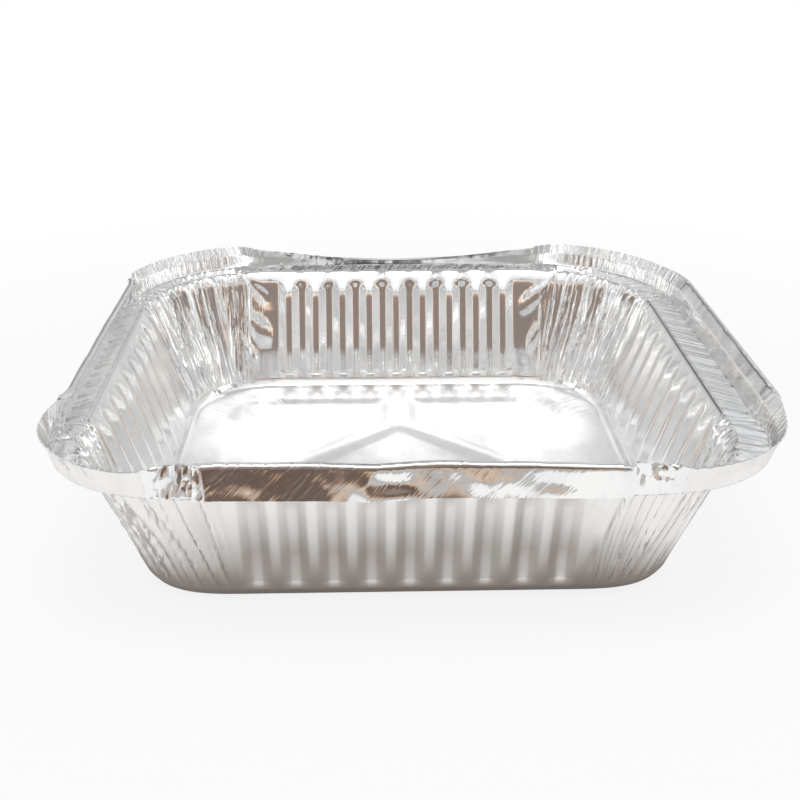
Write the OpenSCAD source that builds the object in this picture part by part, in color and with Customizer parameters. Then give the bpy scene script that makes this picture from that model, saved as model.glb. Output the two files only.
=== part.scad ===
// Square takeaway tray pressed from one sheet of aluminium foil.
//
// The four walls are stiffened by upright ribs, the corners gather the spare
// foil in pleats, and a flat shelf runs round the mouth. Outside the shelf the
// sheet stands up as a rim. On the four straight sides the rim is hemmed: its
// top is folded over and hangs down outside. The floor has four corner panels
// and a middle one, pressed down so that the tray rests on them.
//
// The origin is in the middle of the underside, +Z is up, and the back of the
// tray is towards +Y.

/* [Plan] */
// Distance from one wall rib to the next
rib_pitch = 11.2; // [10.4:0.1:11.8]
// Number of ribs on each wall
rib_count = 9; // [6:1:9]
// Width across the foot of the walls
foot_w = 162; // [156:0.5:172]
// Width across the mouth, between the inner edges of the shelf
mouth_w = 196; // [188:0.5:204]
// Width of the flat shelf round the mouth
shelf_w = 8.3; // [6:0.1:11]

/* [Heights] */
// Height of the shelf above the table
shelf_z = 46.5; // [36:0.5:60]
// Height of the plain band between the floor and the foot of the ribs
plain_band_h = 3; // [2:0.1:5]
// Height over which the foot of a rib runs out
rib_runout_h = 2.2; // [1:0.1:4]
// Height of the sloping face from the top of a rib to the shelf
brow_h = 8; // [6:0.1:11]

/* [Foil] */
// Thickness of the foil as modelled
foil_t = 0.4; // [0.3:0.05:0.6]
// How far a rib stands in from the wall
rib_depth = 2.1; // [1:0.1:3]
// How far the wall line misses the mouth edge, which sets the arches
arch_inset = 1.3; // [0.6:0.1:2]

/* [Corners] */
// Number of pleats gathered in each corner
pleat_count = 12; // [8:1:14]
// Depth of a pleat near the mouth
pleat_depth = 1.9; // [0.5:0.1:2.6]
// How uneven the pleats are
pleat_unevenness = 0.55; // [0:0.05:0.8]
// How far the front corners swell out at the rim
front_bulge = 6.5; // [0:0.5:8]
// How far the back corners swell out at the rim
back_bulge = 0.5; // [0:0.5:8]

/* [Rim] */
// Height of the rim up to its crease
rim_low_h = 5; // [3:0.1:7]
// Height of the rim above its crease
rim_top_h = 5.2; // [3:0.1:7]
// How far the rim sits off centre, to the right
rim_shift = 1.4; // [0:0.1:2]
// Lean of the rim at the corners, in degrees
lean_corner = 27; // [0:1:45]
// Lean of the right rim above its crease, in degrees
lean_right = 38; // [-30:1:50]
// Lean of the right rim below its crease
lean_right_low = 17; // [-30:1:50]
// Lean of the back rim above its crease, at its middle
lean_back = 96; // [-30:1:100]
// Lean of the back rim below its crease, at its middle
lean_back_low = 84; // [-30:1:88]
// Lean of the left rim above its crease
lean_left = -26; // [-30:1:50]
// Lean of the left rim below its crease
lean_left_low = -18; // [-30:1:50]
// Lean of the front rim above its crease
lean_front = 3; // [-30:1:50]
// Lean of the front rim below its crease
lean_front_low = 0; // [-30:1:50]
// Length of the hem on each side
hem_len = 119; // [104:1:126]
// Gap inside the fold at the top of the hem
hem_gap = 1.3; // [0.8:0.1:2]
// Gap between the flap of the hem and the rim at its lower edge
flap_gap = 0.6; // [0.4:0.1:1.2]

/* [Floor] */
// How far the panels are pressed below the ledge and the floor ribs
panel_drop = 1.2; // [0.6:0.1:2.5]
// Width of the floor between the outer edges of the panels
panels_w = 136; // [128:0.5:142]
// Radius of the outer corner of a corner panel
panel_corner_r = 16; // [8:0.5:22]
// Width of the slope at the outer edge of a panel
panel_slope_w = 5.6; // [3:0.1:7]
// Width of the straight floor ribs
cross_rib_w = 7.2; // [5:0.1:10]
// Width of the slope beside a floor rib
rib_slope_w = 4; // [2:0.1:5]
// Distance from the middle to where the diamond's sides would meet
diamond_reach = 43; // [36:0.5:48]
// Width of the flat top of the slanting floor ribs
slant_rib_w = 3.2; // [2:0.1:5]

/* [Hidden] */
foil_colour = [0.82, 0.82, 0.81];

half_run = rib_count * rib_pitch / 2;
foot_r = foot_w / 2 - half_run;
mouth_r = mouth_w / 2 - half_run;
ledge_z = panel_drop + foil_t;

// Stations round the tray: four to a rib, two to a pleat.
side_n = 4 * rib_count;
corner_n = 2 * pleat_count;
quarter_n = side_n + corner_n;
station_n = 4 * quarter_n;

// Wall lines. The wall rises from the foot to just inside the mouth edge. The
// brow slopes from the top of a rib to the mouth edge and meets the wall line
// at the top of each arch.
wall_run = (mouth_r - arch_inset - foot_r) / (shelf_z - ledge_z);
function wall_r(z) = foot_r + wall_run * (z - ledge_z);
band_z = ledge_z + plain_band_h;
rib_foot_z = band_z + rib_runout_h;
brow_z = shelf_z - brow_h;
brow_run = (mouth_r - wall_r(brow_z) + rib_depth) / brow_h;
arch_z = shelf_z - arch_inset / (brow_run - wall_run);
function brow_r(z) = mouth_r - brow_run * (shelf_z - z);

// Unevenness of the pleats: a sideways and an in-and-out share for each one.
pleat_shift = rands(-1, 1, 4 * corner_n, 5);
pleat_share = rands(-1, 1, 4 * corner_n, 9);
pleat_twist = rands(-1, 1, 4 * corner_n, 14);

// Place of station i on its quarter: distance along the side, or -1 in a corner.
function quarter_of(i) = floor((i % station_n) / quarter_n);
function place_of(i) = (i % station_n) % quarter_n;
function on_side(i) = place_of(i) < side_n;
function along(i) = rib_pitch * (floor(place_of(i) / 4) + (place_of(i) % 4 + 0.5) / 4) - half_run;
function is_rib(i) = on_side(i) && (place_of(i) % 4 == 1 || place_of(i) % 4 == 2);
function corner_no(i) = place_of(i) - side_n;
function pleat_no(i) = quarter_of(i) * corner_n + corner_no(i);
function corner_turn(i) =
    90 * (corner_no(i) + 1 + 0.5 * pleat_unevenness * pleat_shift[pleat_no(i)]) / (corner_n + 1);

// Direction in which station i looks out, and the point that it is measured from.
function turn_of(i) = 90 * quarter_of(i) + (on_side(i) ? 0 : corner_turn(i));
function turned(p, a) = [p[0] * cos(a) - p[1] * sin(a), p[0] * sin(a) + p[1] * cos(a)];
function start_of(i) = turned([half_run, on_side(i) ? along(i) : half_run], 90 * quarter_of(i));
function place(i, rz) = concat(start_of(i) + rz[0] * [cos(turn_of(i)), sin(turn_of(i))], rz[1]);

// In-and-out share of the pleat at station i, from -1 in a fold to 1 on a ridge.
function pleat(i) = on_side(i) ? 0
    : (place_of(i) % 2 == 0 ? 1 : -1) * (1 + pleat_unevenness * pleat_share[pleat_no(i)]);
function twist(i) = on_side(i) ? 0 : pleat_unevenness * pleat_twist[pleat_no(i)];

// Lean of the rim above and below its crease. It is full along the hem and
// eases to that of the corners. The back rim is bent out most at its middle.
top_leans = [lean_right, lean_back, lean_left, lean_front];
low_leans = [lean_right_low, lean_back_low, lean_left_low, lean_front_low];
function ease(x) = let (c = max(0, min(1, x))) c * c * (3 - 2 * c);
function side_near(i) = on_side(i) || corner_turn(i) < 45 ? quarter_of(i) : (quarter_of(i) + 1) % 4;
function off_side(i) = on_side(i) ? 0 : min(corner_turn(i), 90 - corner_turn(i)) / 45;
function bow(i) = side_near(i) == 1 ? 22 * pow(on_side(i) ? along(i) / half_run : 1, 2) : 0;
function lean(i, leans, corner) =
    let (side = leans[side_near(i)] - bow(i))
    side + (corner - side) * ease(1.6 * off_side(i));

// How far the corner swells out at station i, at the rim.
function bulge(i) = on_side(i) ? 0
    : (quarter_of(i) < 2 ? back_bulge : front_bulge) * pow(sin(2 * corner_turn(i)), 2);

// Section of the foil at station i, from the foot of the wall to the top of the
// rim, as distances out from the start point and heights.
function step(a, h) = h * [sin(a), cos(a)];
function section(i) =
    let (
        rib = is_rib(i) ? rib_depth : 0,
        fold = pleat_depth * pleat(i),
        sway = pleat_depth * twist(i),
        swell = bulge(i),
        swell_of = function(z) swell * (0.45 + 0.55 * (z - ledge_z) / (shelf_z - ledge_z)),
        rim_foot = [mouth_r + shelf_w + swell + 0.12 * fold + rim_shift * cos(turn_of(i)), shelf_z],
        low_step = step(lean(i, low_leans, 0.55 * lean_corner), rim_low_h),
        top_step = step(lean(i, top_leans, lean_corner), rim_top_h * (on_side(i) ? 1 : 0.8)),
        rim_crease = rim_foot + low_step + [0.1 * fold, 0],
        rim_top = rim_crease + top_step + [0.1 * fold, 0.1 * sway]
    )
    [
        [foot_r + swell_of(ledge_z), ledge_z],
        [wall_r(band_z) + swell_of(band_z) + 0.05 * fold, band_z],
        [wall_r(rib_foot_z) - rib + swell_of(rib_foot_z) + 0.3 * fold, rib_foot_z],
        [(is_rib(i) ? brow_r(brow_z) : wall_r(brow_z)) + swell_of(brow_z) + 0.8 * fold + 0.4 * sway, brow_z],
        [brow_r(arch_z) + swell_of(arch_z) + 0.8 * fold - 0.5 * sway, arch_z],
        [mouth_r + swell_of(shelf_z) + 0.4 * fold, shelf_z],
        rim_foot,
        rim_crease,
        rim_top
    ];
row_n = 9;

// The same section on the outer face of the foil, one thickness away.
function unit(v) = v / norm(v);
function outward(a, b) = let (d = unit(b - a)) [d[1], -d[0]];
function outer_point(s, k) =
    let (
        before = k == 0 ? [0, -1] : outward(s[k - 1], s[k]),
        after = k == row_n - 1 ? before : outward(s[k], s[k + 1])
    )
    s[k] + foil_t * (before + after) / (1 + before * after);

// Stations that carry the hem on each side.
rim_r = mouth_r + shelf_w;
hem_extra = max(0, round((hem_len / 2 - half_run) / rim_r / (PI / 2) * (corner_n + 1)));
hem_n = side_n + 2 * hem_extra;
function hem_station(q, k) = (q * quarter_n + k - hem_extra + station_n) % station_n;
function has_hem(i) =
    on_side(i) || corner_no(i) < hem_extra || corner_no(i) >= corner_n - hem_extra;

// Hem section at station i: the flap's inner face downwards, then its outer
// face upwards. The fold stands open at the top by hem_gap.
function hem_section(i) =
    let (
        s = section(i),
        top = s[row_n - 1],
        crease = s[row_n - 2],
        foot = s[row_n - 3],
        up = unit(top - crease),
        out_top = outward(crease, top),
        out_low = outward(foot, crease),
        mid_gap = (hem_gap + flap_gap) / 2
    )
    [
        top + (foil_t + hem_gap) * out_top - foil_t * up,
        crease + (foil_t + mid_gap) * out_top,
        foot + (foil_t + flap_gap) * out_low,
        foot + (2 * foil_t + flap_gap) * out_low,
        crease + (2 * foil_t + mid_gap) * out_top,
        top + (2 * foil_t + hem_gap) * out_top - 0.4 * foil_t * up
    ];
// Where the outer face ends under the fold of the hem.
function under_fold(i) =
    let (s = section(i), top = s[row_n - 1], crease = s[row_n - 2])
    top + foil_t * outward(crease, top) - foil_t * unit(top - crease);

sections = [for (i = [0:station_n - 1]) section(i)];
inner_rows = [for (k = [0:row_n - 1]) for (i = [0:station_n - 1]) place(i, sections[i][k])];
outer_rows = [
    for (k = [0:row_n - 1]) for (i = [0:station_n - 1])
        place(i, k == row_n - 1 && has_hem(i) ? under_fold(i) : outer_point(sections[i], k))
];
hem_rows = [
    for (q = [0:3]) for (k = [0:hem_n - 1])
        let (i = hem_station(q, k)) for (rz = hem_section(i)) place(i, rz)
];

// Floor, as columns that run in from the ledge to the middle. A quarter holds
// the cross rib on its first column, then one corner panel.
half_panels = panels_w / 2;
half_rib = cross_rib_w / 2;
side_stop = half_rib + rib_slope_w;
arc_start = half_panels - panel_corner_r;
slant = diamond_reach + slant_rib_w * sqrt(2);
slant_low = slant + panel_slope_w * 0.8 * sqrt(2);
diamond_low = diamond_reach - panel_slope_w * sqrt(2);
column_n = 12;
row_levels = [0, 1, 1, 0, 0, 1];

// Where each column of a quarter meets the foot of the wall, by station share.
column_share = [0, 1, 3, 9, 15, 22, 30, 38, 45, 51, 57, 59, 60] / 60;
function column_station(c) =
    floor(c / column_n) * quarter_n + round(column_share[c % column_n] * quarter_n)
    + floor(side_n / 2);

// Outer edge of a corner panel: straight, round the corner, straight, set in by d.
function edge_point(t, d) =
    t <= 4 ? [half_panels - d, [0, half_rib, side_stop, (side_stop + arc_start) / 2, arc_start][t]]
    : [arc_start, arc_start] + (panel_corner_r - d) * [cos(22.5 * (t - 4)), sin(22.5 * (t - 4))];
function swapped(p) = [p[1], p[0]];
function outer_edge(c, d) = c <= 6 ? edge_point(c, d) : swapped(edge_point(12 - c, d));

// Line x + y = reach, crossed by column c.
function slant_edge(c, reach) =
    let (low = c == 0 ? 0 : c == 1 ? half_rib : side_stop, span = (reach - 2 * side_stop) / 8)
    c <= 2 ? [reach - low, low]
    : c <= 10 ? [reach - side_stop - (c - 2) * span, side_stop + (c - 2) * span]
    : swapped(slant_edge(12 - c, reach));
// The same for the diamond, whose points are rounded.
function diamond_edge(c, reach) =
    let (p = slant_edge(c, reach), far = max(p[0], p[1]), keep = reach * 0.88)
    far <= keep ? p : p * (1 - 0.5 * (far - keep) / reach);

// Rounds a panel's corner by moving the vertex on its upper outline inwards.
function nudge(c, d) = (c == 1 ? [-d, d] : c == 11 ? [d, -d] : [0, 0]);
function panel_col(c) = c >= 2 && c <= 10;
function floor_column(c) =
    [
        concat(outer_edge(c, 0) + nudge(c, 0.9), 0),
        concat(outer_edge(c, panel_slope_w), panel_col(c) ? 1 : 0),
        concat(slant_edge(c, slant_low), panel_col(c) ? 1 : 0),
        concat(slant_edge(c, slant), 0),
        concat(diamond_edge(c, diamond_reach), 0),
        concat(diamond_edge(c, diamond_low), 1)
    ];
floor_row_n = 6;
floor_col_n = 4 * column_n;
function floor_point(k, c, lift) =
    let (p = floor_column(c % column_n)[k], xy = turned([p[0], p[1]], 90 * floor(c / column_n)))
    [xy[0], xy[1], lift + (1 - p[2]) * panel_drop];
floor_top = [for (k = [0:floor_row_n - 1]) for (c = [0:floor_col_n - 1]) floor_point(k, c, foil_t)];
floor_under = [for (k = [0:floor_row_n - 1]) for (c = [0:floor_col_n - 1]) floor_point(k, c, 0)];

// Point numbers.
inner_0 = 0;
outer_0 = len(inner_rows);
hem_0 = outer_0 + len(outer_rows);
top_0 = hem_0 + len(hem_rows);
under_0 = top_0 + len(floor_top);
function inner_no(k, i) = inner_0 + k * station_n + i % station_n;
function outer_no(k, i) = outer_0 + k * station_n + i % station_n;
function hem_no(q, k, m) = hem_0 + (q * hem_n + k) * 6 + m;
function top_no(k, c) = top_0 + k * floor_col_n + c % floor_col_n;
function under_no(k, c) = under_0 + k * floor_col_n + c % floor_col_n;

// Two triangles between a lower edge a-b and an upper edge d-c.
function two(a, b, c, d) = [[a, b, c], [a, c, d]];
function two_back(a, b, c, d) = [[c, b, a], [d, c, a]];

wall_faces = [
    for (k = [0:row_n - 2]) for (i = [0:station_n - 1]) each concat(
        two(inner_no(k, i), inner_no(k, i + 1), inner_no(k + 1, i + 1), inner_no(k + 1, i)),
        two_back(outer_no(k, i), outer_no(k, i + 1), outer_no(k + 1, i + 1), outer_no(k + 1, i))
    )
];
// The rim's top edge, wherever two neighbouring stations aren't both hemmed.
top_faces = [
    for (i = [0:station_n - 1]) if (!(has_hem(i) && has_hem(i + 1))) each
        two(inner_no(row_n - 1, i), inner_no(row_n - 1, i + 1),
            outer_no(row_n - 1, i + 1), outer_no(row_n - 1, i))
];
// Numbers round the hem's section: outer face of the rim, flap, top of the rim.
function hem_loop(q, k) =
    let (i = hem_station(q, k))
    concat([outer_no(row_n - 1, i)], [for (m = [0:5]) hem_no(q, k, m)], [inner_no(row_n - 1, i)]);
hem_faces = [
    for (q = [0:3]) for (k = [0:hem_n - 2])
        let (a = hem_loop(q, k), b = hem_loop(q, k + 1))
        for (m = [0:6]) each two_back(a[m], b[m], b[m + 1], a[m + 1])
];
function backwards(v) = [for (k = [len(v) - 1:-1:0]) v[k]];
hem_ends = [for (q = [0:3]) each [backwards(hem_loop(q, 0)), hem_loop(q, hem_n - 1)]];

// The flat ledge between the foot of the wall and the panels.
function fan(c) = [for (i = [column_station(c):column_station(c + 1) - 1]) i];
ledge_faces = [
    for (c = [0:floor_col_n - 1]) each concat(
        [for (i = fan(c)) [top_no(0, c), inner_no(0, i + 1), inner_no(0, i)]],
        [[top_no(0, c), top_no(0, c + 1), inner_no(0, column_station(c + 1))]],
        [for (i = fan(c)) [under_no(0, c), outer_no(0, i), outer_no(0, i + 1)]],
        [[under_no(0, c), outer_no(0, column_station(c + 1)), under_no(0, c + 1)]]
    )
];
floor_faces = [
    for (k = [0:floor_row_n - 2]) for (c = [0:floor_col_n - 1]) each concat(
        two_back(top_no(k, c), top_no(k, c + 1), top_no(k + 1, c + 1), top_no(k + 1, c)),
        two(under_no(k, c), under_no(k, c + 1), under_no(k + 1, c + 1), under_no(k + 1, c))
    )
];
middle_faces = [
    backwards([for (c = [0:floor_col_n - 1]) top_no(floor_row_n - 1, c)]),
    [for (c = [0:floor_col_n - 1]) under_no(floor_row_n - 1, c)]
];

module foil_tray() {
    color(foil_colour)
        polyhedron(
            points = concat(inner_rows, outer_rows, hem_rows, floor_top, floor_under),
            faces = concat(wall_faces, top_faces, hem_faces, hem_ends, ledge_faces, floor_faces, middle_faces),
            convexity = 12
        );
}

foil_tray();
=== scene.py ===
"""Dresses the square foil tray: one pressed sheet, bright inside and satin outside."""
import logging
import math
from dataclasses import dataclass
from enum import Enum

import bpy
import numpy as np
from numpy.typing import NDArray
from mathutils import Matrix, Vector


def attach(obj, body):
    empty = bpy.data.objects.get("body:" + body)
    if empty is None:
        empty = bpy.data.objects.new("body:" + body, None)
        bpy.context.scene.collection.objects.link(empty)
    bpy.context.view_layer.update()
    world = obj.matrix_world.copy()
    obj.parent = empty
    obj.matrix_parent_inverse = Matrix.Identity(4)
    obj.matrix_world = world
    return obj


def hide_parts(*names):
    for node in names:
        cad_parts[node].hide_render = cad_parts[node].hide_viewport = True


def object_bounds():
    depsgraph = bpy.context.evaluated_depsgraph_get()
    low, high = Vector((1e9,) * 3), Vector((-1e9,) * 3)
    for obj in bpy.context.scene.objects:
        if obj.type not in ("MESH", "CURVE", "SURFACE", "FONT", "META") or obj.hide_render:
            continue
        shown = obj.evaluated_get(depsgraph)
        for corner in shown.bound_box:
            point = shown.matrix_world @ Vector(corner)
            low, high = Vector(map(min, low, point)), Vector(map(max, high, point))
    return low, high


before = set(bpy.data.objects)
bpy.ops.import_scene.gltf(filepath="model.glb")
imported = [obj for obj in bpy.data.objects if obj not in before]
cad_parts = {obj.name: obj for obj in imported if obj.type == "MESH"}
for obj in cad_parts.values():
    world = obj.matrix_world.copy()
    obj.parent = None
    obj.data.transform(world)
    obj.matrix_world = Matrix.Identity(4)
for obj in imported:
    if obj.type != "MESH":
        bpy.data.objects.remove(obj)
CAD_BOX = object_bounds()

Grid = NDArray[np.float64]
Faces = NDArray[np.int64]

LOG = logging.getLogger("foil_tray")
MM = 0.001


class Side(Enum):
    """The four walls, numbered by quarter turns from the right one."""

    RIGHT = 0
    BACK = 1
    LEFT = 2
    FRONT = 3


class FoilFace(Enum):
    """The two faces of the foil, numbered by material slot."""

    BRIGHT = 0
    SATIN = 1


def smooth_step(low: float | Grid, high: float | Grid, x: Grid) -> Grid:
    """Rises from 0 at low to 1 at high as 3t^2 - 2t^3.

    Args:
        low: Where the rise starts.
        high: Where it ends.
        x: The values to map.

    Returns:
        Values from 0 to 1, shaped like x.
    """
    t = np.clip((x - low) / (np.asarray(high) - low), 0.0, 1.0)
    return t * t * (3.0 - 2.0 * t)


def soft_min(a: Grid, b: Grid, reach: float) -> Grid:
    """The smaller of two fields, rounded where they are within reach of each other.

    Args:
        a: First field.
        b: Second field.
        reach: Difference below which the two blend.

    Returns:
        min(a, b) less reach / 4 where they are equal.
    """
    blend = np.clip(1.0 - np.abs(a - b) / reach, 0.0, 1.0)
    return np.minimum(a, b) - blend * blend * reach / 4.0


def crease_wave(x: Grid, skew: Grid | float = 0.5) -> Grid:
    """A folded line: straight up to +1 over the share skew of a turn, straight down over the rest.

    Args:
        x: Position in turns.
        skew: Share of the turn that rises.

    Returns:
        Values from -1 to 1 with a sharp crest and a sharp fold in each turn.
    """
    part = x - np.floor(x)
    return np.where(part < skew, part / skew, (1.0 - part) / (1.0 - skew)) * 2.0 - 1.0


class Crumple:
    """Smooth seeded noise: a table of random heights joined by smooth steps."""

    SIZE = 128

    def __init__(self, seed: int) -> None:
        """Fills the table of heights.

        Args:
            seed: Number that fixes the table.
        """
        self.table: Grid = np.random.default_rng(seed).uniform(-1.0, 1.0, (self.SIZE, self.SIZE))

    def at(self, x: Grid, y: Grid | float) -> Grid:
        """Height at (x, y), in table cells, wrapped at the table's edge.

        Args:
            x: First position.
            y: Second position.

        Returns:
            Values from -1 to 1.
        """
        x, y = np.broadcast_arrays(np.asarray(x, float), np.asarray(y, float))
        ix, iy = np.floor(x).astype(int), np.floor(y).astype(int)
        tx, ty = smooth_step(0.0, 1.0, x - ix), smooth_step(0.0, 1.0, y - iy)
        x0, x1 = ix % self.SIZE, (ix + 1) % self.SIZE
        y0, y1 = iy % self.SIZE, (iy + 1) % self.SIZE
        low = self.table[x0, y0] * (1 - tx) + self.table[x1, y0] * tx
        high = self.table[x0, y1] * (1 - tx) + self.table[x1, y1] * tx
        return low * (1 - ty) + high * ty


@dataclass(frozen=True)
class TraySizes:
    """Sizes of the tray in millimetres, as the frame has them."""

    rib_pitch: float = 11.2
    rib_count: int = 9
    foot_w: float = 162.0
    mouth_w: float = 196.0
    shelf_w: float = 8.3
    shelf_z: float = 46.5
    plain_band_h: float = 3.0
    rib_runout_h: float = 2.2
    brow_h: float = 8.0
    foil_t: float = 0.4
    rib_depth: float = 2.1
    arch_inset: float = 1.3
    pleat_count: int = 12
    front_bulge: float = 6.5
    back_bulge: float = 0.5
    rim_low_h: float = 5.0
    rim_top_h: float = 5.2
    rim_shift: float = 1.4
    lean_corner: float = 27.0
    hem_len: float = 119.0
    hem_gap: float = 1.3
    flap_gap: float = 0.6
    panel_drop: float = 1.2
    panels_w: float = 136.0
    panel_corner_r: float = 16.0
    panel_slope_w: float = 5.6
    cross_rib_w: float = 7.2
    rib_slope_w: float = 4.0
    diamond_reach: float = 43.0
    slant_rib_w: float = 3.2

    @property
    def half_run(self) -> float:
        """Half the ribbed length of a wall."""
        return self.rib_count * self.rib_pitch / 2

    @property
    def foot_r(self) -> float:
        """Radius of a corner at the foot of the wall."""
        return self.foot_w / 2 - self.half_run

    @property
    def mouth_r(self) -> float:
        """Radius of a corner at the mouth edge."""
        return self.mouth_w / 2 - self.half_run

    @property
    def ledge_z(self) -> float:
        """Height of the ledge between the floor panels and the wall."""
        return self.panel_drop + self.foil_t

    @property
    def band_z(self) -> float:
        """Height at which the ribs start."""
        return self.ledge_z + self.plain_band_h

    @property
    def brow_z(self) -> float:
        """Height of the top of a rib."""
        return self.shelf_z - self.brow_h

    @property
    def wall_run(self) -> float:
        """How far the wall runs out for each millimetre of height."""
        return (self.mouth_r - self.arch_inset - self.foot_r) / (self.shelf_z - self.ledge_z)

    @property
    def brow_run(self) -> float:
        """How far the brow runs out for each millimetre of height."""
        return (self.mouth_r - self.wall_r(self.brow_z) + self.rib_depth) / self.brow_h

    def wall_r(self, z: Grid | float) -> Grid | float:
        """Distance of the wall line at height z from the corner centres."""
        return self.foot_r + self.wall_run * (z - self.ledge_z)

    def brow_r(self, z: Grid | float) -> Grid | float:
        """Distance of the sloping brow at height z from the corner centres."""
        return self.mouth_r - self.brow_run * (self.shelf_z - z)


@dataclass(frozen=True)
class Lean:
    """Lean of one side's rim in degrees, below and above its crease."""

    low: float
    top: float


@dataclass(frozen=True)
class Dent:
    """A drop-shaped dent in the wall with a sharp outline.

    Attributes:
        side: Wall on which the dent is measured.
        along: Distance along that wall from its middle, to the left seen from inside.
        z: Height of its middle.
        half_l: Half its length.
        half_w: Half its width.
        tilt: Turn of its long axis from upright, in degrees.
        depth: How far it is pushed out; negative is pushed in.
    """

    side: Side
    along: float
    z: float
    half_l: float
    half_w: float
    tilt: float
    depth: float


class Stations:
    """Stations round the tray, denser at the edges of the ribs and in the corners.

    Attributes:
        along: Distance along the wall from its middle.
        turn: Degrees round the corner that follows the wall.
        rib_share: Place within one rib's pitch, from 0 to 1.
        rib_no: Number of the rib on its wall.
        on_side: True on a wall, false in a corner.
        quarter: Number of the wall, also for the corner that follows it.
        at_back: True on the right and back walls and in the back corners, which follow them.
        start: Point on the corner centres' square from which a distance out is measured.
        out: Direction outwards.
        facing_deg: The same direction in degrees.
        side_near: Number of the nearest wall.
        past: Degrees past the end of the nearest wall.
        off_side: The same, as a share of half a corner.
    """

    RIB_STOPS = (0.0, 0.09, 0.16, 0.34, 0.41, 0.5, 0.59, 0.66, 0.84, 0.91)

    def __init__(self, size: TraySizes, corner_n: int) -> None:
        """Works out the place and direction of every station.

        Args:
            size: Sizes of the tray.
            corner_n: Number of stations inside each corner.
        """
        stops = np.array(self.RIB_STOPS)
        ribs = np.arange(size.rib_count)[:, None]
        run = ((ribs + stops[None, :]) * size.rib_pitch - size.half_run).ravel()
        share = np.tile(stops, size.rib_count)
        number = np.repeat(np.arange(size.rib_count), len(stops))
        turn = 90.0 * np.arange(corner_n + 1) / (corner_n + 1)
        corner = len(turn)

        self.side_n = len(run)
        self.quarter_n = self.side_n + corner
        self.count = 4 * self.quarter_n
        blank = np.zeros(corner)
        self.along: Grid = np.tile(np.concatenate([run, blank + size.half_run]), 4)
        self.turn: Grid = np.tile(np.concatenate([np.zeros(self.side_n), turn]), 4)
        self.rib_share: Grid = np.tile(np.concatenate([share, blank]), 4)
        self.rib_no: Grid = np.tile(np.concatenate([number, blank]), 4)
        self.on_side = np.tile(np.arange(self.quarter_n) < self.side_n, 4)
        self.quarter = np.repeat(np.arange(4), self.quarter_n)
        self.at_back = self.quarter < 2

        whole = np.radians(90.0 * self.quarter)
        self.start: Grid = np.stack(
            [
                size.half_run * np.cos(whole) - self.along * np.sin(whole),
                size.half_run * np.sin(whole) + self.along * np.cos(whole),
            ],
            axis=-1,
        )
        self.facing_deg: Grid = 90.0 * self.quarter + self.turn
        facing = np.radians(self.facing_deg)
        self.out: Grid = np.stack([np.cos(facing), np.sin(facing)], axis=-1)

        in_corner = ~self.on_side
        self.side_near = np.where(in_corner & (self.turn >= 45.0), (self.quarter + 1) % 4, self.quarter)
        self.past: Grid = np.where(in_corner, np.minimum(self.turn, 90.0 - self.turn), 0.0)
        self.off_side: Grid = self.past / 45.0

    def arc(self, radius: float) -> Grid:
        """Distance round the tray at that corner radius, from station 0.

        Args:
            radius: Radius of the corners at the height that counts.

        Returns:
            Millimetres for each station.
        """
        side = self.along + self.along.max()
        corner = np.where(self.on_side, 0.0, np.radians(self.turn) * radius)
        quarter = 2 * self.along.max() + radius * math.pi / 2
        return self.quarter * quarter + side + corner

    def from_side(self, side: Side, radius: float) -> Grid:
        """Signed distance along one wall from its middle, carried on round both its corners.

        Args:
            side: The wall.
            radius: Radius of the corners at the height that counts.

        Returns:
            Millimetres for each station; large where the station is on another wall.
        """
        ring = 4 * (2 * self.along.max() + radius * math.pi / 2)
        middle = side.value * ring / 4 + self.along.max()
        return (self.arc(radius) - middle + ring / 2) % ring - ring / 2


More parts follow.
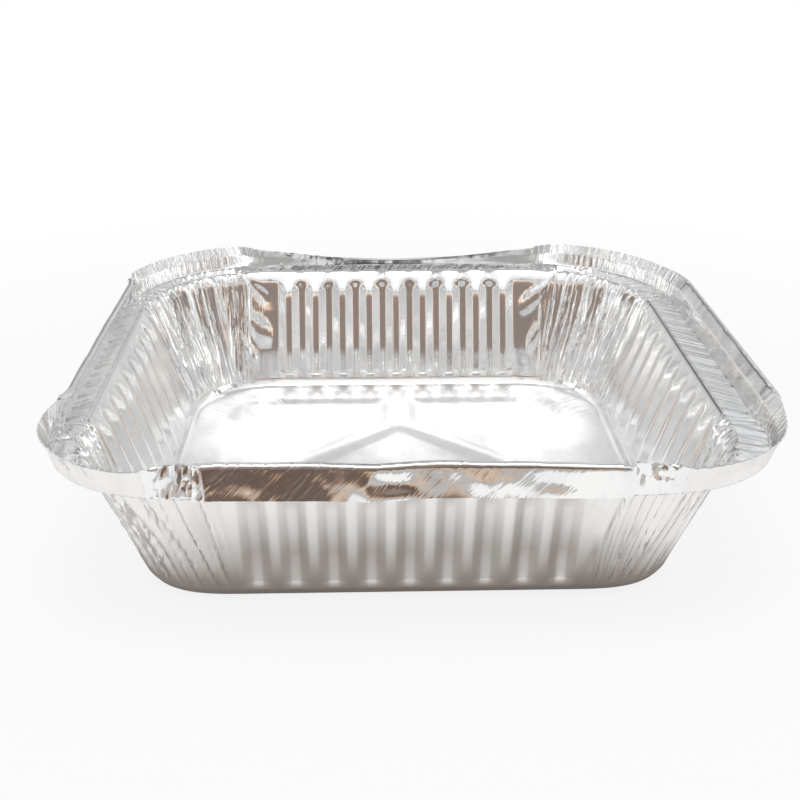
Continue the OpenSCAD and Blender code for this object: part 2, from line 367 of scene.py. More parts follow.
@dataclass
class TraySheet:
    """The sheet from the foot of the walls up: points of both faces of walls, shelf, rim and hems.

    Attributes:
        size: Sizes of the tray.
        corner_n: Stations in each corner.
        seed: Number that fixes the crumples.
    """

    size: TraySizes
    corner_n: int = 124
    seed: int = 7

    # Lean of the rim in degrees, outwards positive, and how much less the back one leans at its ends.
    LEANS = {
        Side.RIGHT: Lean(17.0, 38.0),
        Side.BACK: Lean(84.0, 96.0),
        Side.LEFT: Lean(-18.0, -26.0),
        Side.FRONT: Lean(0.0, 3.0),
    }
    BACK_BOW = 22.0
    # Inward lean of the front rim in degrees, by share of half a wall from left to right.
    FRONT_STOPS = (-1.0, -0.5, -0.36, -0.2, 0.0, 0.14, 0.3, 0.6, 0.8, 1.0)
    FRONT_LEANS = (16.0, 12.0, 6.5, 3.5, 9.5, 14.0, 12.5, 5.5, 2.0, -1.0)
    # Share of the corners' lean below the crease, and inward lean at the pinched places, low and top.
    LOW_CORNER_LEAN = 0.55
    PINCH_LEANS = (4.0, 10.0)
    # Rows of the section: the round foot as steps out and up, the wall's heights, which are closer
    # at the ribs' feet and tops, and shares of the shelf and of the rim's two parts.
    FOOT_ROUND = ((-0.8, 0.0), (-0.12, 0.22))
    FOOT_TOP = 0.8
    WALL_HEIGHTS = (
        3.3, 4.0, 4.45, 4.55, 5.7, 6.85, 6.95, 8.4, 10.0, 12.0, 14.0, 16.0, 18.0, 20.0, 22.0, 24.0,
        26.0, 28.0, 30.0, 32.0, 34.4, 36.6, 38.4, 39.6, 40.8, 41.9, 43.0, 44.0, 44.9, 45.6,
    )
    SHELF_SHARES = (0.05, 0.35, 0.65, 0.95)
    LOW_SHARES = (0.12, 0.5, 0.88)
    TOP_SHARES = (0.12, 0.45, 0.8, 1.0)
    EDGE_ROUND = 0.4
    BROW_BLEND = 0.7
    # The ribs run out over this much more at each end, and deepen by this share for each millimetre down.
    RUNOUT_EASE = 0.1
    RIB_TAPER = 0.008
    RIB_MIDDLE_Z = 24.0
    # Share of their depth that the front ribs lose towards their feet, and the heights between which.
    FRONT_RIB_LOSS = 0.72
    FRONT_RIB_FADE = (5.0, 15.0)
    # How far the wall's foot stands out for each millimetre below a height, and how much more on a wall.
    STEEPER = 0.042
    STEEPER_Z = 16.5
    WALL_STEEPER = 1.45
    # How much lower the rim is in the corners, as a share, and where it is hemmed.
    CORNER_RIM_LOSS = 0.2
    HEM_DROP = 1.05
    # Depths of the corners' broad, second and fine pleats, and their share in the front corners.
    PLEAT_DEPTHS = (0.58, 0.72, 0.20)
    FRONT_PLEATS = 0.95
    PLEAT_SLANT = 9.0
    # Degrees over which the pleats start at a corner's ends, and the same beside the back wall.
    PLEAT_START = (1.0, 7.0)
    BACK_START = (11.0, 21.0)
    # Pitches and depths of the rim's upright pleats, the pinched places' folds and the shelf's ripples.
    RIM_PLEAT = (2.7, 0.24)
    PINCH_FOLD = (3.0, 1.25)
    SHELF_RIPPLE = (8.2, 0.2)
    CORNER_RIPPLE = (4.6, 0.32)
    # Slant of the ripples on the right, back, left and front, in millimetres for each millimetre out.
    SHELF_SLANTS = (0.8, 0.3, -0.9, 0.3)
    # Knuckles in which the back wall's channels end: height, half width, half length and depth.
    KNUCKLE = (43.3, 2.5, 2.9, 0.75)
    # Front hem: how much wider its fold is, and the strength of the flap's creases by share of half a wall.
    FRONT_FOLD = 1.35
    FLAP_STOPS = (-1.0, -0.5, -0.25, 0.0, 0.25, 0.5, 1.0)
    FLAP_CREASES = (0.8, 1.0, 3.2, 3.4, 1.6, 1.2, 1.2)
    FOLD_ANGLES = (150.0, 115.0, 80.0, 45.0, 15.0)
    FLAP_SHARES = (0.06, 0.2, 0.38, 0.56, 0.74, 0.9, 1.0)
    # Small bulge of the front hem's fold: place along the wall, half width and height.
    BULGE = (2.5, 3.2, 0.315)
    DENTS = (
        Dent(Side.BACK, 57.6, 25.0, 7.8, 4.0, 38.0, -1.1),
        Dent(Side.BACK, 56.0, 38.5, 7.5, 2.2, 40.0, 0.8),
        Dent(Side.BACK, 62.6, 15.5, 7.0, 2.4, 24.0, -0.95),
        Dent(Side.BACK, -57.2, 36.0, 8.5, 3.0, -42.0, -1.0),
        Dent(Side.BACK, -58.6, 21.0, 6.5, 2.2, -24.0, -0.9),
        Dent(Side.BACK, -64.0, 13.0, 7.5, 2.2, -18.0, -0.95),
    )

    def __post_init__(self) -> None:
        """Makes the stations and the noise tables."""
        self.stations = Stations(self.size, self.corner_n)
        self.noise = Crumple(self.seed)
        self.noise_b = Crumple(self.seed + 1)

    def row(self, value: Grid | float) -> Grid:
        """One value for each station, from a single one or an array."""
        return np.broadcast_to(np.asarray(value, float), (self.stations.count,)).copy()

    def swell(self, z: Grid | float) -> Grid:
        """How far the corners swell out at height z: the corner's bulge times the square of sin(2 turn)."""
        s, st = self.size, self.stations
        share = np.where(st.at_back, s.back_bulge, s.front_bulge)
        bulge = np.where(st.on_side, 0.0, share * np.sin(np.radians(2 * st.turn)) ** 2)
        return bulge * (0.45 + 0.55 * (z - s.ledge_z) / (s.shelf_z - s.ledge_z))

    def rib_shape(self) -> Grid:
        """Share of the rib's depth at each station: a trapezium of slopes a quarter pitch wide."""
        st = self.stations
        edge = np.minimum(st.rib_share, 1.0 - st.rib_share)
        shape = np.clip((edge - 0.125) / 0.25, 0.0, 1.0)
        uneven = 1.0 + 0.07 * self.noise.at(st.rib_no * 3.7 + 31 * st.quarter, 3.5)
        return np.where(st.on_side, shape * uneven, 0.0)

    def front_share(self) -> Grid:
        """Place of each station from left to right, -1 to 1 between the ends of the ribbed length."""
        return np.clip(self.stations.start[:, 0] / self.size.half_run, -1.0, 1.0)

    def lean(self, top: bool) -> Grid:
        """Lean of the rim at each station in radians.

        The side's own lean eases to the corners' as the turn grows. The back rim is bent out
        most at its middle, and the front rim leans in unevenly along its length.

        Args:
            top: True for the part above the crease.

        Returns:
            Radians for each station.
        """
        s, st = self.size, self.stations
        sides = np.array([self.LEANS[Side(k)].top if top else self.LEANS[Side(k)].low for k in range(4)])
        side = sides[st.side_near]
        reach = np.where(st.on_side, st.along / s.half_run, 1.0)
        side = side - np.where(st.side_near == Side.BACK.value, self.BACK_BOW * reach**2, 0.0)
        x_share = self.front_share()
        inward = np.interp(x_share, self.FRONT_STOPS, self.FRONT_LEANS)
        inward = inward + 2.0 * self.noise.at(x_share * 5.0, 7.3)
        side = side - np.where(st.side_near == Side.FRONT.value, inward, 0.0)
        corner = s.lean_corner * (1.0 if top else self.LOW_CORNER_LEAN)
        ease = smooth_step(0.0, 1.0, 1.6 * st.off_side)
        wobble = 2.5 * self.noise_b.at(st.arc(s.mouth_r) / 17.0, 2.5 if top else 9.5)
        wobble = wobble * np.where(st.on_side, 0.35, 1.0)
        pinched = self.PINCH_LEANS[int(top)] * self.pinched()
        return np.radians(side + (corner - side) * ease + wobble - pinched)

    def rib_depth(self, z: float) -> Grid:
        """Depth of the ribs at height z: it runs out at their feet, the front ones' earlier."""
        s = self.size
        runout = (z - s.band_z + self.RUNOUT_EASE) / (s.rib_runout_h + 2 * self.RUNOUT_EASE)
        taper = 1.0 + self.RIB_TAPER * (self.RIB_MIDDLE_Z - z)
        depth = self.rib_shape() * s.rib_depth * min(max(runout, 0.0), 1.0) * taper
        loss = self.FRONT_RIB_LOSS * (1.0 - float(smooth_step(*self.FRONT_RIB_FADE, np.array(z))))
        return depth * (1.0 - np.where(self.stations.side_near == Side.FRONT.value, loss, 0.0))

    def foot_out(self, z: float) -> Grid:
        """How far the wall stands out from its straight slope at height z, near its foot."""
        out = self.STEEPER * max(self.STEEPER_Z - z, 0.0) * float(smooth_step(1.5, 4.5, np.array(z)))
        return out * np.where(self.stations.on_side, self.WALL_STEEPER, 1.0)

    def section_rows(self) -> tuple[Grid, Grid, Grid, Grid]:
        """Smooth section of the sheet at every station, from the foot to the top of the rim.

        The wall is the wall line less the rib's depth, or the sloping brow where that is further
        out. The shelf is level, and the rim rises in two straight parts at its leans. The edges
        between them are rounded.

        Returns:
            Distances out, heights, and the outward normal's two parts, as rows by stations.
        """
        s, st = self.size, self.stations
        radii: list[Grid] = []
        heights: list[Grid] = []
        for out, up in self.FOOT_ROUND:
            radii.append(self.row(s.foot_r + out) + self.swell(s.ledge_z))
            heights.append(self.row(s.ledge_z + up))
        start = s.ledge_z + self.FOOT_TOP
        radii.append(s.wall_r(start) + self.swell(start))
        heights.append(self.row(start))
        for z in self.WALL_HEIGHTS:
            line = s.wall_r(z) - self.rib_depth(z) + self.foot_out(z)
            radii.append(-soft_min(-line, -self.row(s.brow_r(z)), self.BROW_BLEND) + self.swell(z))
            heights.append(self.row(z))
        self.mouth_row = len(radii)
        mouth = s.mouth_r + self.swell(s.shelf_z)
        e = self.EDGE_ROUND
        radii += [mouth - 0.05, mouth + e]
        heights += [self.row(s.shelf_z - 0.16), self.row(s.shelf_z)]
        foot = s.mouth_r + s.shelf_w + self.swell(s.shelf_z) + s.rim_shift * np.cos(np.radians(st.facing_deg))
        for share in self.SHELF_SHARES:
            radii.append(mouth + e + share * (foot - mouth - 2 * e))
            heights.append(self.row(s.shelf_z))
        self.rim_row = len(radii)
        low, top = self.lean(False), self.lean(True)
        radii += [foot - e, foot - 0.08 + 0.05 * np.sin(low)]
        heights += [self.row(s.shelf_z), self.row(s.shelf_z + 0.15)]
        for share in (*self.LOW_SHARES, 1.0):
            radii.append(foot + share * s.rim_low_h * np.sin(low))
            heights.append(s.shelf_z + share * s.rim_low_h * np.cos(low))
        self.crease_row = len(radii) - 1
        crease_r, crease_z = radii[-1], heights[-1]
        lower = self.CORNER_RIM_LOSS * smooth_step(0.1, 0.55, st.off_side)
        rise = s.rim_top_h * (1.0 - lower) - np.where(self.hemmed(), self.HEM_DROP, 0.0)
        for share in self.TOP_SHARES:
            radii.append(crease_r + share * rise * np.sin(top))
            heights.append(crease_z + share * rise * np.cos(top))
        r, z = np.stack(radii), np.stack(heights)
        dr, dz = np.gradient(r, axis=0), np.gradient(z, axis=0)
        length = np.hypot(dr, dz)
        normal_r, normal_z = dz / length, -dr / length
        normal_r[0], normal_z[0] = 0.0, -1.0
        return r, z, normal_r, normal_z

    def outer_rows(self) -> Faces:
        """Rows that the outer face keeps: all at the ribs' feet, and every second one above."""
        wall = np.concatenate([np.arange(4, 10), np.arange(11, self.mouth_row, 2)])
        shelf = [self.mouth_row, self.mouth_row + 1, self.mouth_row + 3, self.mouth_row + 5]
        rim = np.arange(self.rim_row, self.crease_row + len(self.TOP_SHARES) + 1)
        return np.concatenate([[0, 1, 2], wall, shelf, rim])

    def hemmed(self) -> NDArray[np.bool_]:
        """True where a hem is: on the walls, and on the corners' ends up to half the hem's length."""
        s, st = self.size, self.stations
        extra = math.degrees((s.hem_len / 2 - s.half_run) / (s.mouth_r + s.shelf_w))
        return st.on_side | (st.past <= extra)

    def pleats(self, z: Grid) -> Grid:
        """Push of the pleats in the corners, outwards positive.

        Folded lines run up each corner, bent sideways by noise, with second and finer ones
        between them. They grow from nothing at the band to their full depth at the brow and end
        at the mouth edge. Beside the back wall they start later, where the wall has its dents.

        Args:
            z: Heights, rows by stations.

        Returns:
            Millimetres, rows by stations.
        """
        s, st = self.size, self.stations
        base = 20.0 * st.quarter
        rise = np.clip((z - s.band_z) / (s.shelf_z - s.band_z), 0.0, 1.0)
        way = np.select([st.quarter == Side.LEFT.value, st.quarter == Side.FRONT.value], [1.0, -1.0], 0.0)
        turn = st.turn - way * self.PLEAT_SLANT * (1.0 - rise)
        drift = 0.7 * self.noise.at(turn / 13.0 + base, z / 40.0)
        drift = drift + 0.2 * self.noise_b.at(turn / 5.5 + base, z / 21.0)
        lines = s.pleat_count * turn / 90.0 + drift
        skew = 0.5 + 0.3 * self.noise_b.at(np.floor(lines) * 1.7 + base, 4.4)
        broad = crease_wave(lines, skew)
        broad = broad * (1.0 + 0.5 * self.noise.at(np.floor(lines) * 2.3 + base, z / 30.0 + 8.0))
        between = lines * 1.7 + 0.6 * self.noise.at(turn / 7.0 + base, z / 48.0 + 30.0)
        second = crease_wave(between, 0.36)
        second = second * (1.0 + 0.6 * self.noise_b.at(np.floor(between) * 1.3 + base, z / 25.0))
        fine = crease_wave(lines * 3.3 + 0.8 * self.noise_b.at(turn / 3.0 + base, z / 32.0), 0.45)
        push = sum(depth * part for depth, part in zip(self.PLEAT_DEPTHS, (broad, second, fine)))
        push = push * np.where(st.at_back, 1.0, self.FRONT_PLEATS)
        push = push * smooth_step(-0.02, 0.16, rise) * (0.66 + 0.34 * rise)
        push = push * np.where(z >= s.shelf_z - 0.01, 0.0, 1.0 - 0.55 * smooth_step(43.5, 46.4, z))
        push = push * self.pleat_start(Side.BACK, st.turn) * self.pleat_start(Side.RIGHT, 90.0 - st.turn)
        return np.where(st.on_side, 0.0, push)

    def pleat_start(self, plain: Side, turn: Grid) -> Grid:
        """Rise of the pleats from nothing over the first degrees of a corner.

        Args:
            plain: Quarter in which this end of the corner lies beside the back wall and starts later.
            turn: Degrees from this end of the corner.

        Returns:
            Values from 0 to 1 for each station.
        """
        late = self.stations.quarter == plain.value
        low, high = (np.where(late, back, other) for back, other in zip(self.BACK_START, self.PLEAT_START))
        return smooth_step(low, high, turn)

    def rim_crumples(self, r: Grid, z: Grid) -> Grid:
        """Push of the fine upright pleats of the corner rims and of the waves along the hemmed rims.

        The places beside the front hem's ends are pinched into deeper folds, the crease carries
        small dots, and the back rim has a crushed place left of its middle.

        Args:
            r: Distances out, rows by stations.
            z: Heights, rows by stations.

        Returns:
            Millimetres, rows by stations.
        """
        s, st = self.size, self.stations
        arc = st.arc(s.mouth_r + s.shelf_w)
        rows = np.arange(r.shape[0], dtype=float)[:, None]
        up = smooth_step(self.rim_row, self.rim_row + 2, rows)
        pitch, depth = self.RIM_PLEAT
        lines = arc / pitch + 0.8 * self.noise.at(arc / 5.0, 11.5)
        lines = lines + 0.2 * self.noise_b.at(arc / 3.0, z / 2.0)
        tall = depth * crease_wave(lines, 0.35 + 0.2 * self.noise_b.at(np.floor(lines) * 1.3, 1.5))
        tall = tall * (1.0 + 0.8 * self.noise.at(np.floor(lines) * 1.7, z / 7.0))
        tall = tall + 0.12 * self.noise_b.at(arc / 1.4, z / 4.0)
        corner = np.clip(st.off_side * 6.0, 0.0, 1.0) * np.where(st.at_back, 1.0, 0.75)
        waves = 0.16 * self.noise.at(arc / 14.0, z / 6.0) + 0.05 * self.noise_b.at(arc / 3.2, z / 2.5)
        push = corner * tall + (0.3 + 0.7 * (1 - corner)) * waves
        pitch, depth = self.PINCH_FOLD
        pinch = depth * crease_wave(arc / pitch + 1.1 * self.noise.at(arc / 2.6, z / 2.8), 0.45)
        push = push + self.pinched() * (pinch * (0.7 + 0.6 * self.noise_b.at(arc / 4.0, z / 3.0)) - 0.1)
        dots = 0.13 * self.noise_b.at(arc / 0.9, 2.5) * st.on_side
        push = push + np.where(rows == self.crease_row, dots, 0.0)
        crushed = np.exp(-(((st.start[:, 0] + 36.0) / 13.0) ** 2))
        crushed = crushed * (st.quarter == Side.BACK.value) * st.on_side
        creased = crease_wave(arc / 5.0 + 1.3 * self.noise.at(arc / 4.0, z / 1.2), 0.4)
        return up * (push + 0.3 * crushed * creased)

    def pinched(self) -> Grid:
        """Share of pinching beside the ends of the front hem: 1 at the end, 0 at 13 mm from it."""
        s, st = self.size, self.stations
        beyond = np.abs(st.from_side(Side.FRONT, s.mouth_r + s.shelf_w)) - s.hem_len / 2
        return smooth_step(13.0, 9.0, beyond) * smooth_step(-2.0, 0.5, beyond)

    def shelf_ripples(self, r: Grid) -> Grid:
        """Push of the ripples across the shelf, downwards positive.

        Sharp low ripples slant a little and die out at the edges of the shelf. Closer ones cross
        the shelf's corners.

        Args:
            r: Distances out, rows by stations.

        Returns:
            Millimetres, rows by stations.
        """
        s, st = self.size, self.stations
        rows = np.arange(r.shape[0], dtype=float)[:, None]
        on_shelf = smooth_step(self.mouth_row + 1, self.mouth_row + 2, rows)
        on_shelf = on_shelf * smooth_step(self.rim_row + 1.0, self.rim_row - 1.0, rows)
        slant = np.array(self.SHELF_SLANTS)[st.side_near]
        arc = st.arc(s.mouth_r + 0.5 * s.shelf_w) + slant * (r - s.mouth_r)
        pitch, depth = self.SHELF_RIPPLE
        lines = arc / pitch + 0.25 * self.noise.at(arc / 14.0, 21.5)
        side = depth * crease_wave(lines, 0.3)
        side = side * (0.8 + 0.35 * self.noise_b.at(np.floor(lines) * 1.9, 5.5))
        pitch, depth = self.CORNER_RIPPLE
        corner = depth * crease_wave(arc / pitch + 0.9 * self.noise.at(arc / 6.0, r / 4.0), 0.4)
        corner = corner * (0.8 + 0.6 * self.noise.at(arc / 7.0, 3.3))
        mix = smooth_step(0.0, 0.25, st.off_side)
        return on_shelf * (side * (1 - mix) + corner * mix)

    def wall_dents(self, r: Grid, z: Grid) -> Grid:
        """Push of the drop-shaped dents, outwards positive.

        Each is a dome of height (1 - d)^0.6 inside an oval outline d = 1, which narrows
        towards its upper end.

        Args:
            r: Distances out, rows by stations.
            z: Heights, rows by stations.

        Returns:
            Millimetres, rows by stations.
        """
        s = self.size
        total = np.zeros(r.shape)
        for dent in self.DENTS:
            along = self.stations.from_side(dent.side, s.foot_r + 0.5 * (s.mouth_r - s.foot_r))
            tilt = math.radians(dent.tilt)
            across = (along - dent.along) * math.cos(tilt) - (z - dent.z) * math.sin(tilt)
            upward = (along - dent.along) * math.sin(tilt) + (z - dent.z) * math.cos(tilt)
            narrow = 1.0 - 0.45 * np.clip(upward / dent.half_l, -1.0, 1.0)
            d = (across / (dent.half_w * narrow)) ** 2 + (upward / dent.half_l) ** 2
            total += 0.8 * dent.depth * np.clip(1.0 - d, 0.0, 1.0) ** 0.6
        return np.where(z < s.shelf_z - 1.2, total, 0.0)

    def wall_waves(self, z: Grid) -> Grid:
        """Push of the broad unevenness of the whole wall.

        Args:
            z: Heights, rows by stations.

        Returns:
            Millimetres, rows by stations.
        """
        s, st = self.size, self.stations
        arc = st.arc(0.5 * (s.foot_r + s.mouth_r))
        broad = 0.22 * self.noise.at(arc / 26.0, z / 21.0 + 5.0) + 0.07 * self.noise_b.at(arc / 9.0, z / 11.0)
        level = smooth_step(s.ledge_z, 12.0, z) * (1 - smooth_step(40.0, 46.0, z))
        return broad * level

    def channel_tops(self, z: Grid) -> Grid:
        """Push of the small knuckles in which the back wall's channels end, outwards positive.

        Each is a dome of height (1 - d)^0.75 inside an oval d = 1 that is a little uneven.

        Args:
            z: Heights, rows by stations.

        Returns:
            Millimetres, rows by stations.
        """
        s, st = self.size, self.stations
        top, half_w, half_l, depth = self.KNUCKLE
        number = np.round(st.along / s.rib_pitch - 0.5) + 0.5
        own = number * 2.7 + 17.0 * st.quarter
        away = st.along - number * s.rib_pitch + 0.8 * self.noise.at(own, 1.5)
        away = away + 0.25 * (z - 43.0) * self.noise.at(own, 9.5)
        height = z - top - 0.6 * self.noise_b.at(own, 3.5)
        d = (away / half_w) ** 2 + (height / half_l) ** 2
        deep = depth * (st.quarter == Side.BACK.value) * (1.0 + 0.5 * self.noise.at(own, 4.5))
        inside = smooth_step(s.half_run - 2.0, s.half_run - 6.0, np.abs(st.along)) * st.on_side
        folds = 1.0 + 0.5 * self.noise_b.at(away / 1.3 + own, z / 1.6)
        return -inside * deep * folds * np.clip(1.0 - d, 0.0, 1.0) ** 0.75

    def place(self, r: Grid, z: Grid) -> Grid:
        """Points from distances out and heights.

        Args:
            r: Distances out, rows by stations.
            z: Heights, rows by stations.

        Returns:
            Points in millimetres, rows by stations by three.
        """
        st = self.stations
        xy = st.start[None] + r[..., None] * st.out[None]
        return np.concatenate([xy, z[..., None]], axis=-1)

    def skins(self) -> tuple[Grid, Grid]:
        """The inner and the outer face of the walls, shelf and rim.

        Both are the smooth section pushed along its normal by the crumples; the outer one
        is a foil's thickness further out.

        Returns:
            Points of the inner and of the outer face, rows by stations by three.
        """
        r, z, nr, nz = self.section_rows()
        push = self.pleats(z) + self.wall_dents(r, z) + self.wall_waves(z)
        push = push + self.rim_crumples(r, z) + self.shelf_ripples(r) + self.channel_tops(z)
        push[:2] = 0.0
        t = self.size.foil_t
        inner = self.place(r + push * nr, z + push * nz)
        kept = self.outer_rows()
        outer = self.place(r + (push + t) * nr, z + (push + t) * nz)[kept]
        self.section = (r + push * nr, z + push * nz)
        return inner, outer

    def hem_rows(self) -> Grid:
        """The turned-down flap, over the fold and down its bright side, then back up its satin side.

        The fold is a half round as wide as its gap and two thicknesses of foil. The flap then
        follows the rim at the gap, which narrows downwards, with soft slanting creases, and its
        free edge is square.

        Returns:
            Points, rows by stations by three; the first half of the rows is the bright side.
        """
        s, st = self.size, self.stations
        r, z = self.section
        t = s.foil_t
        top_r, top_z = r[-1], z[-1]
        up = np.stack([r[-1] - r[-3], z[-1] - z[-3]])
        up = up / np.hypot(*up)
        out = np.stack([up[1], -up[0]])
        x_share = self.front_share()
        front = st.side_near == Side.FRONT.value
        arc = st.arc(s.mouth_r)
        place, half_w, height = self.BULGE
        bulge = np.where(front, height * np.exp(-(((st.start[:, 0] - place) / half_w) ** 2)), 0.0)
        loose = 0.25 * self.noise.at(arc / 15.0, 14.5)
        flare = np.where(front, 0.7 * smooth_step(0.4, -0.6, x_share) + 0.2 * loose, 0.3 * loose)
        reach = np.abs(st.from_side(Side.FRONT, s.mouth_r + s.shelf_w))
        near_end = np.where(front, smooth_step(s.hem_len / 2 - 4.0, s.hem_len / 2, reach), 0.0)

        def at(rise: Grid | float, gap: Grid | float) -> tuple[Grid, Grid]:
            """Point at that height above the rim's top and distance out from its inner face."""
            return top_r + rise * up[0] + gap * out[0], top_z + rise * up[1] + gap * out[1]

        bright: list[tuple[Grid, Grid]] = []
        satin: list[tuple[Grid, Grid]] = []
        wide = 2 * t + s.hem_gap * (1 - 0.55 * near_end) * np.where(front, self.FRONT_FOLD, 1.0)
        for a in np.radians(self.FOLD_ANGLES):
            rise, gap = 0.5 * wide * math.sin(a), 0.5 * wide * (1 + math.cos(a))
            bright.append(at(rise + bulge, gap))
            inner = 0.5 * wide - t
            satin.append(at(inner * math.sin(a), 0.5 * wide + inner * math.cos(a)))
        drop = s.rim_low_h + s.rim_top_h - self.HEM_DROP
        calm = np.where(front, np.interp(x_share, self.FLAP_STOPS, self.FLAP_CREASES), 0.5)
        for share in self.FLAP_SHARES:
            gap = wide - t + (s.flap_gap - s.hem_gap) * share * (1 - near_end) + flare * share**1.3
            soft = 0.34 * self.noise_b.at((arc - 5.0 * share) / 8.5, 2.2 * share) * (0.35 + 0.65 * share)
            soft = soft + 0.10 * self.noise.at((arc - 6.0 * share) / 3.1, 2.0 * share + 40.0)
            gap = gap + calm * soft * min(1.0, 4.0 * share)
            bright.append(at(-drop * share, gap + t))
            satin.append(at(-drop * share, gap))
        rows = bright + satin[::-1]
        rr = np.stack([p[0] for p in rows])
        zz = np.stack([p[1] for p in rows])
        self.hem_half = len(bright)
        return self.place(rr, zz)


@dataclass
class FloorPan:
    """The floor of the tray: ledge, four corner panels, ribs and the middle panel.

    Attributes:
        size: Sizes of the tray.
        seed: Number that fixes the small marks.
    """

    size: TraySizes
    seed: int = 21

    # Columns beside an axis by distance from it, and how many steps spread over the rest of a quarter.
    NEAR_AXIS = (0.0, 1.2, 2.4, 3.6, 4.6, 5.6, 6.6)
    SPREAD = 66
    # Rows by share between two of the lines in quarter_rows, from the ledge in to the middle.
    STEPS = (
        (0, 1, (0.0, 0.3, 0.6, 0.85)),
        (1, 2, (0.0, 0.2, 0.4, 0.6, 0.8)),
        (2, 3, (0.0, 0.25, 0.5, 0.75)),
        (3, 4, (0.0, 0.2, 0.4, 0.6, 0.8)),
        (4, 5, (0.0, 0.5)),
        (5, 6, (0.0, 0.2, 0.4, 0.6, 0.8)),
        (6, 7, (0.0, 0.25, 0.5, 0.75, 0.93)),
    )

    def __post_init__(self) -> None:
        """Makes the noise table and the column parameters of a quarter."""
        self.noise = Crumple(self.seed)
        s = self.size
        stop = s.cross_rib_w / 2 + s.rib_slope_w
        near = np.array(self.NEAR_AXIS)
        spread = np.linspace(0.0, 1.0, self.SPREAD + 1)
        self.low = np.concatenate([near, np.full(self.SPREAD + 1, stop), near[:0:-1]])
        self.share = np.concatenate([np.zeros(len(near)), spread, np.ones(len(near) - 1)])
        self.mirror = np.concatenate(
            [np.zeros(len(near) + self.SPREAD + 1, bool), np.ones(len(near) - 1, bool)]
        )
        self.quarter_n = len(self.low)
        self.count = 4 * self.quarter_n
        self.stop = stop

    def square_line(self, half: float, corner: float) -> Grid:
        """Points of one quarter on a square with round corners, by share of the length.

        Args:
            half: Half the square's width.
            corner: Radius of its corners.

        Returns:
            Points, columns by two.
        """
        straight = half - corner - self.stop
        bend = corner * math.pi / 2
        d = self.share * (2 * straight + bend)
        turn = np.clip((d - straight) / corner, 0.0, math.pi / 2)
        x = half - corner + corner * np.cos(turn) - np.clip(d - straight - bend, 0.0, None)
        y = self.stop + np.clip(d, 0.0, straight) + corner * np.sin(turn)
        points = np.stack([x, y], axis=-1)
        return self.with_axis(points, half)

    def slant_line(self, reach: float, blunt: float = 0.0) -> Grid:
        """Points of one quarter on the line x + y = reach, whose ends may be blunted.

        Args:
            reach: Where the line meets the axes.
            blunt: Share by which points near the axes are drawn in.

        Returns:
            Points, columns by two.
        """
        span = reach - 2 * self.stop
        points = np.stack([reach - self.stop - self.share * span, self.stop + self.share * span], axis=-1)
        points = self.with_axis(points, reach, slanting=True)
        far = points.max(axis=1)
        keep = 0.88 * reach
        cut = np.where(far > keep, blunt * (far - keep) / reach, 0.0)
        return points * (1 - cut)[:, None]

    def with_axis(self, points: Grid, half: float, slanting: bool = False) -> Grid:
        """Puts the columns beside the two axes on lines parallel to them.

        Args:
            points: Points of the columns in between.
            half: Where the line meets the axes.
            slanting: True if the line runs on at a slant up to the axes.

        Returns:
            Points, columns by two.
        """
        reach = half - self.low if slanting else np.full_like(self.low, half)
        near = (self.share == 0.0) & ~self.mirror & (self.low < self.stop)
        first = np.stack([reach, self.low], axis=-1)
        last = np.stack([self.low, reach], axis=-1)
        return np.where(near[:, None], first, np.where(self.mirror[:, None], last, points))

    def quarter_rows(self) -> Grid:
        """Plan of the floor's rows in one quarter, between the lines on which its slopes start and end.

        Returns:
            Points, rows by columns by two.
        """
        s = self.size
        half = s.panels_w / 2
        slant = s.diamond_reach + s.slant_rib_w * math.sqrt(2)
        foot = s.foot_w / 2
        lines = [
            self.square_line(foot - 2.2, s.foot_r - 2.2),
            self.square_line(half, s.panel_corner_r),
            self.square_line(half - s.panel_slope_w, s.panel_corner_r - s.panel_slope_w),
            self.slant_line(slant + s.panel_slope_w * 0.8 * math.sqrt(2)),
            self.slant_line(slant),
            self.slant_line(s.diamond_reach, 0.5),
            self.slant_line(s.diamond_reach - s.panel_slope_w * math.sqrt(2), 0.5),
            np.zeros((self.quarter_n, 2)),
        ]
        rows = [lines[a] + f * (lines[b] - lines[a]) for a, b, shares in self.STEPS for f in shares]
        return np.stack(rows)

    def plan(self) -> Grid:
        """Plan of all the floor's rows, the quarter turned four times.

        Returns:
            Points, rows by columns by two.
        """
        quarter = self.quarter_rows()
        parts = []
        for turn in range(4):
            c, n = round(math.cos(turn * math.pi / 2)), round(math.sin(turn * math.pi / 2))
            x, y = quarter[..., 0], quarter[..., 1]
            parts.append(np.stack([c * x - n * y, n * x + c * y], -1))
        return np.concatenate(parts, axis=1)

    @staticmethod
    def slope(share: Grid) -> Grid:
        """Profile of a slope: even over most of its width, eased at both ends.

        Args:
            share: Share of the slope's width, any value.

        Returns:
            Values from 0 to 1, shaped like share.
        """
        t = np.clip(share, 0.0, 1.0)
        return 0.35 * smooth_step(0.0, 1.0, t) + 0.65 * t

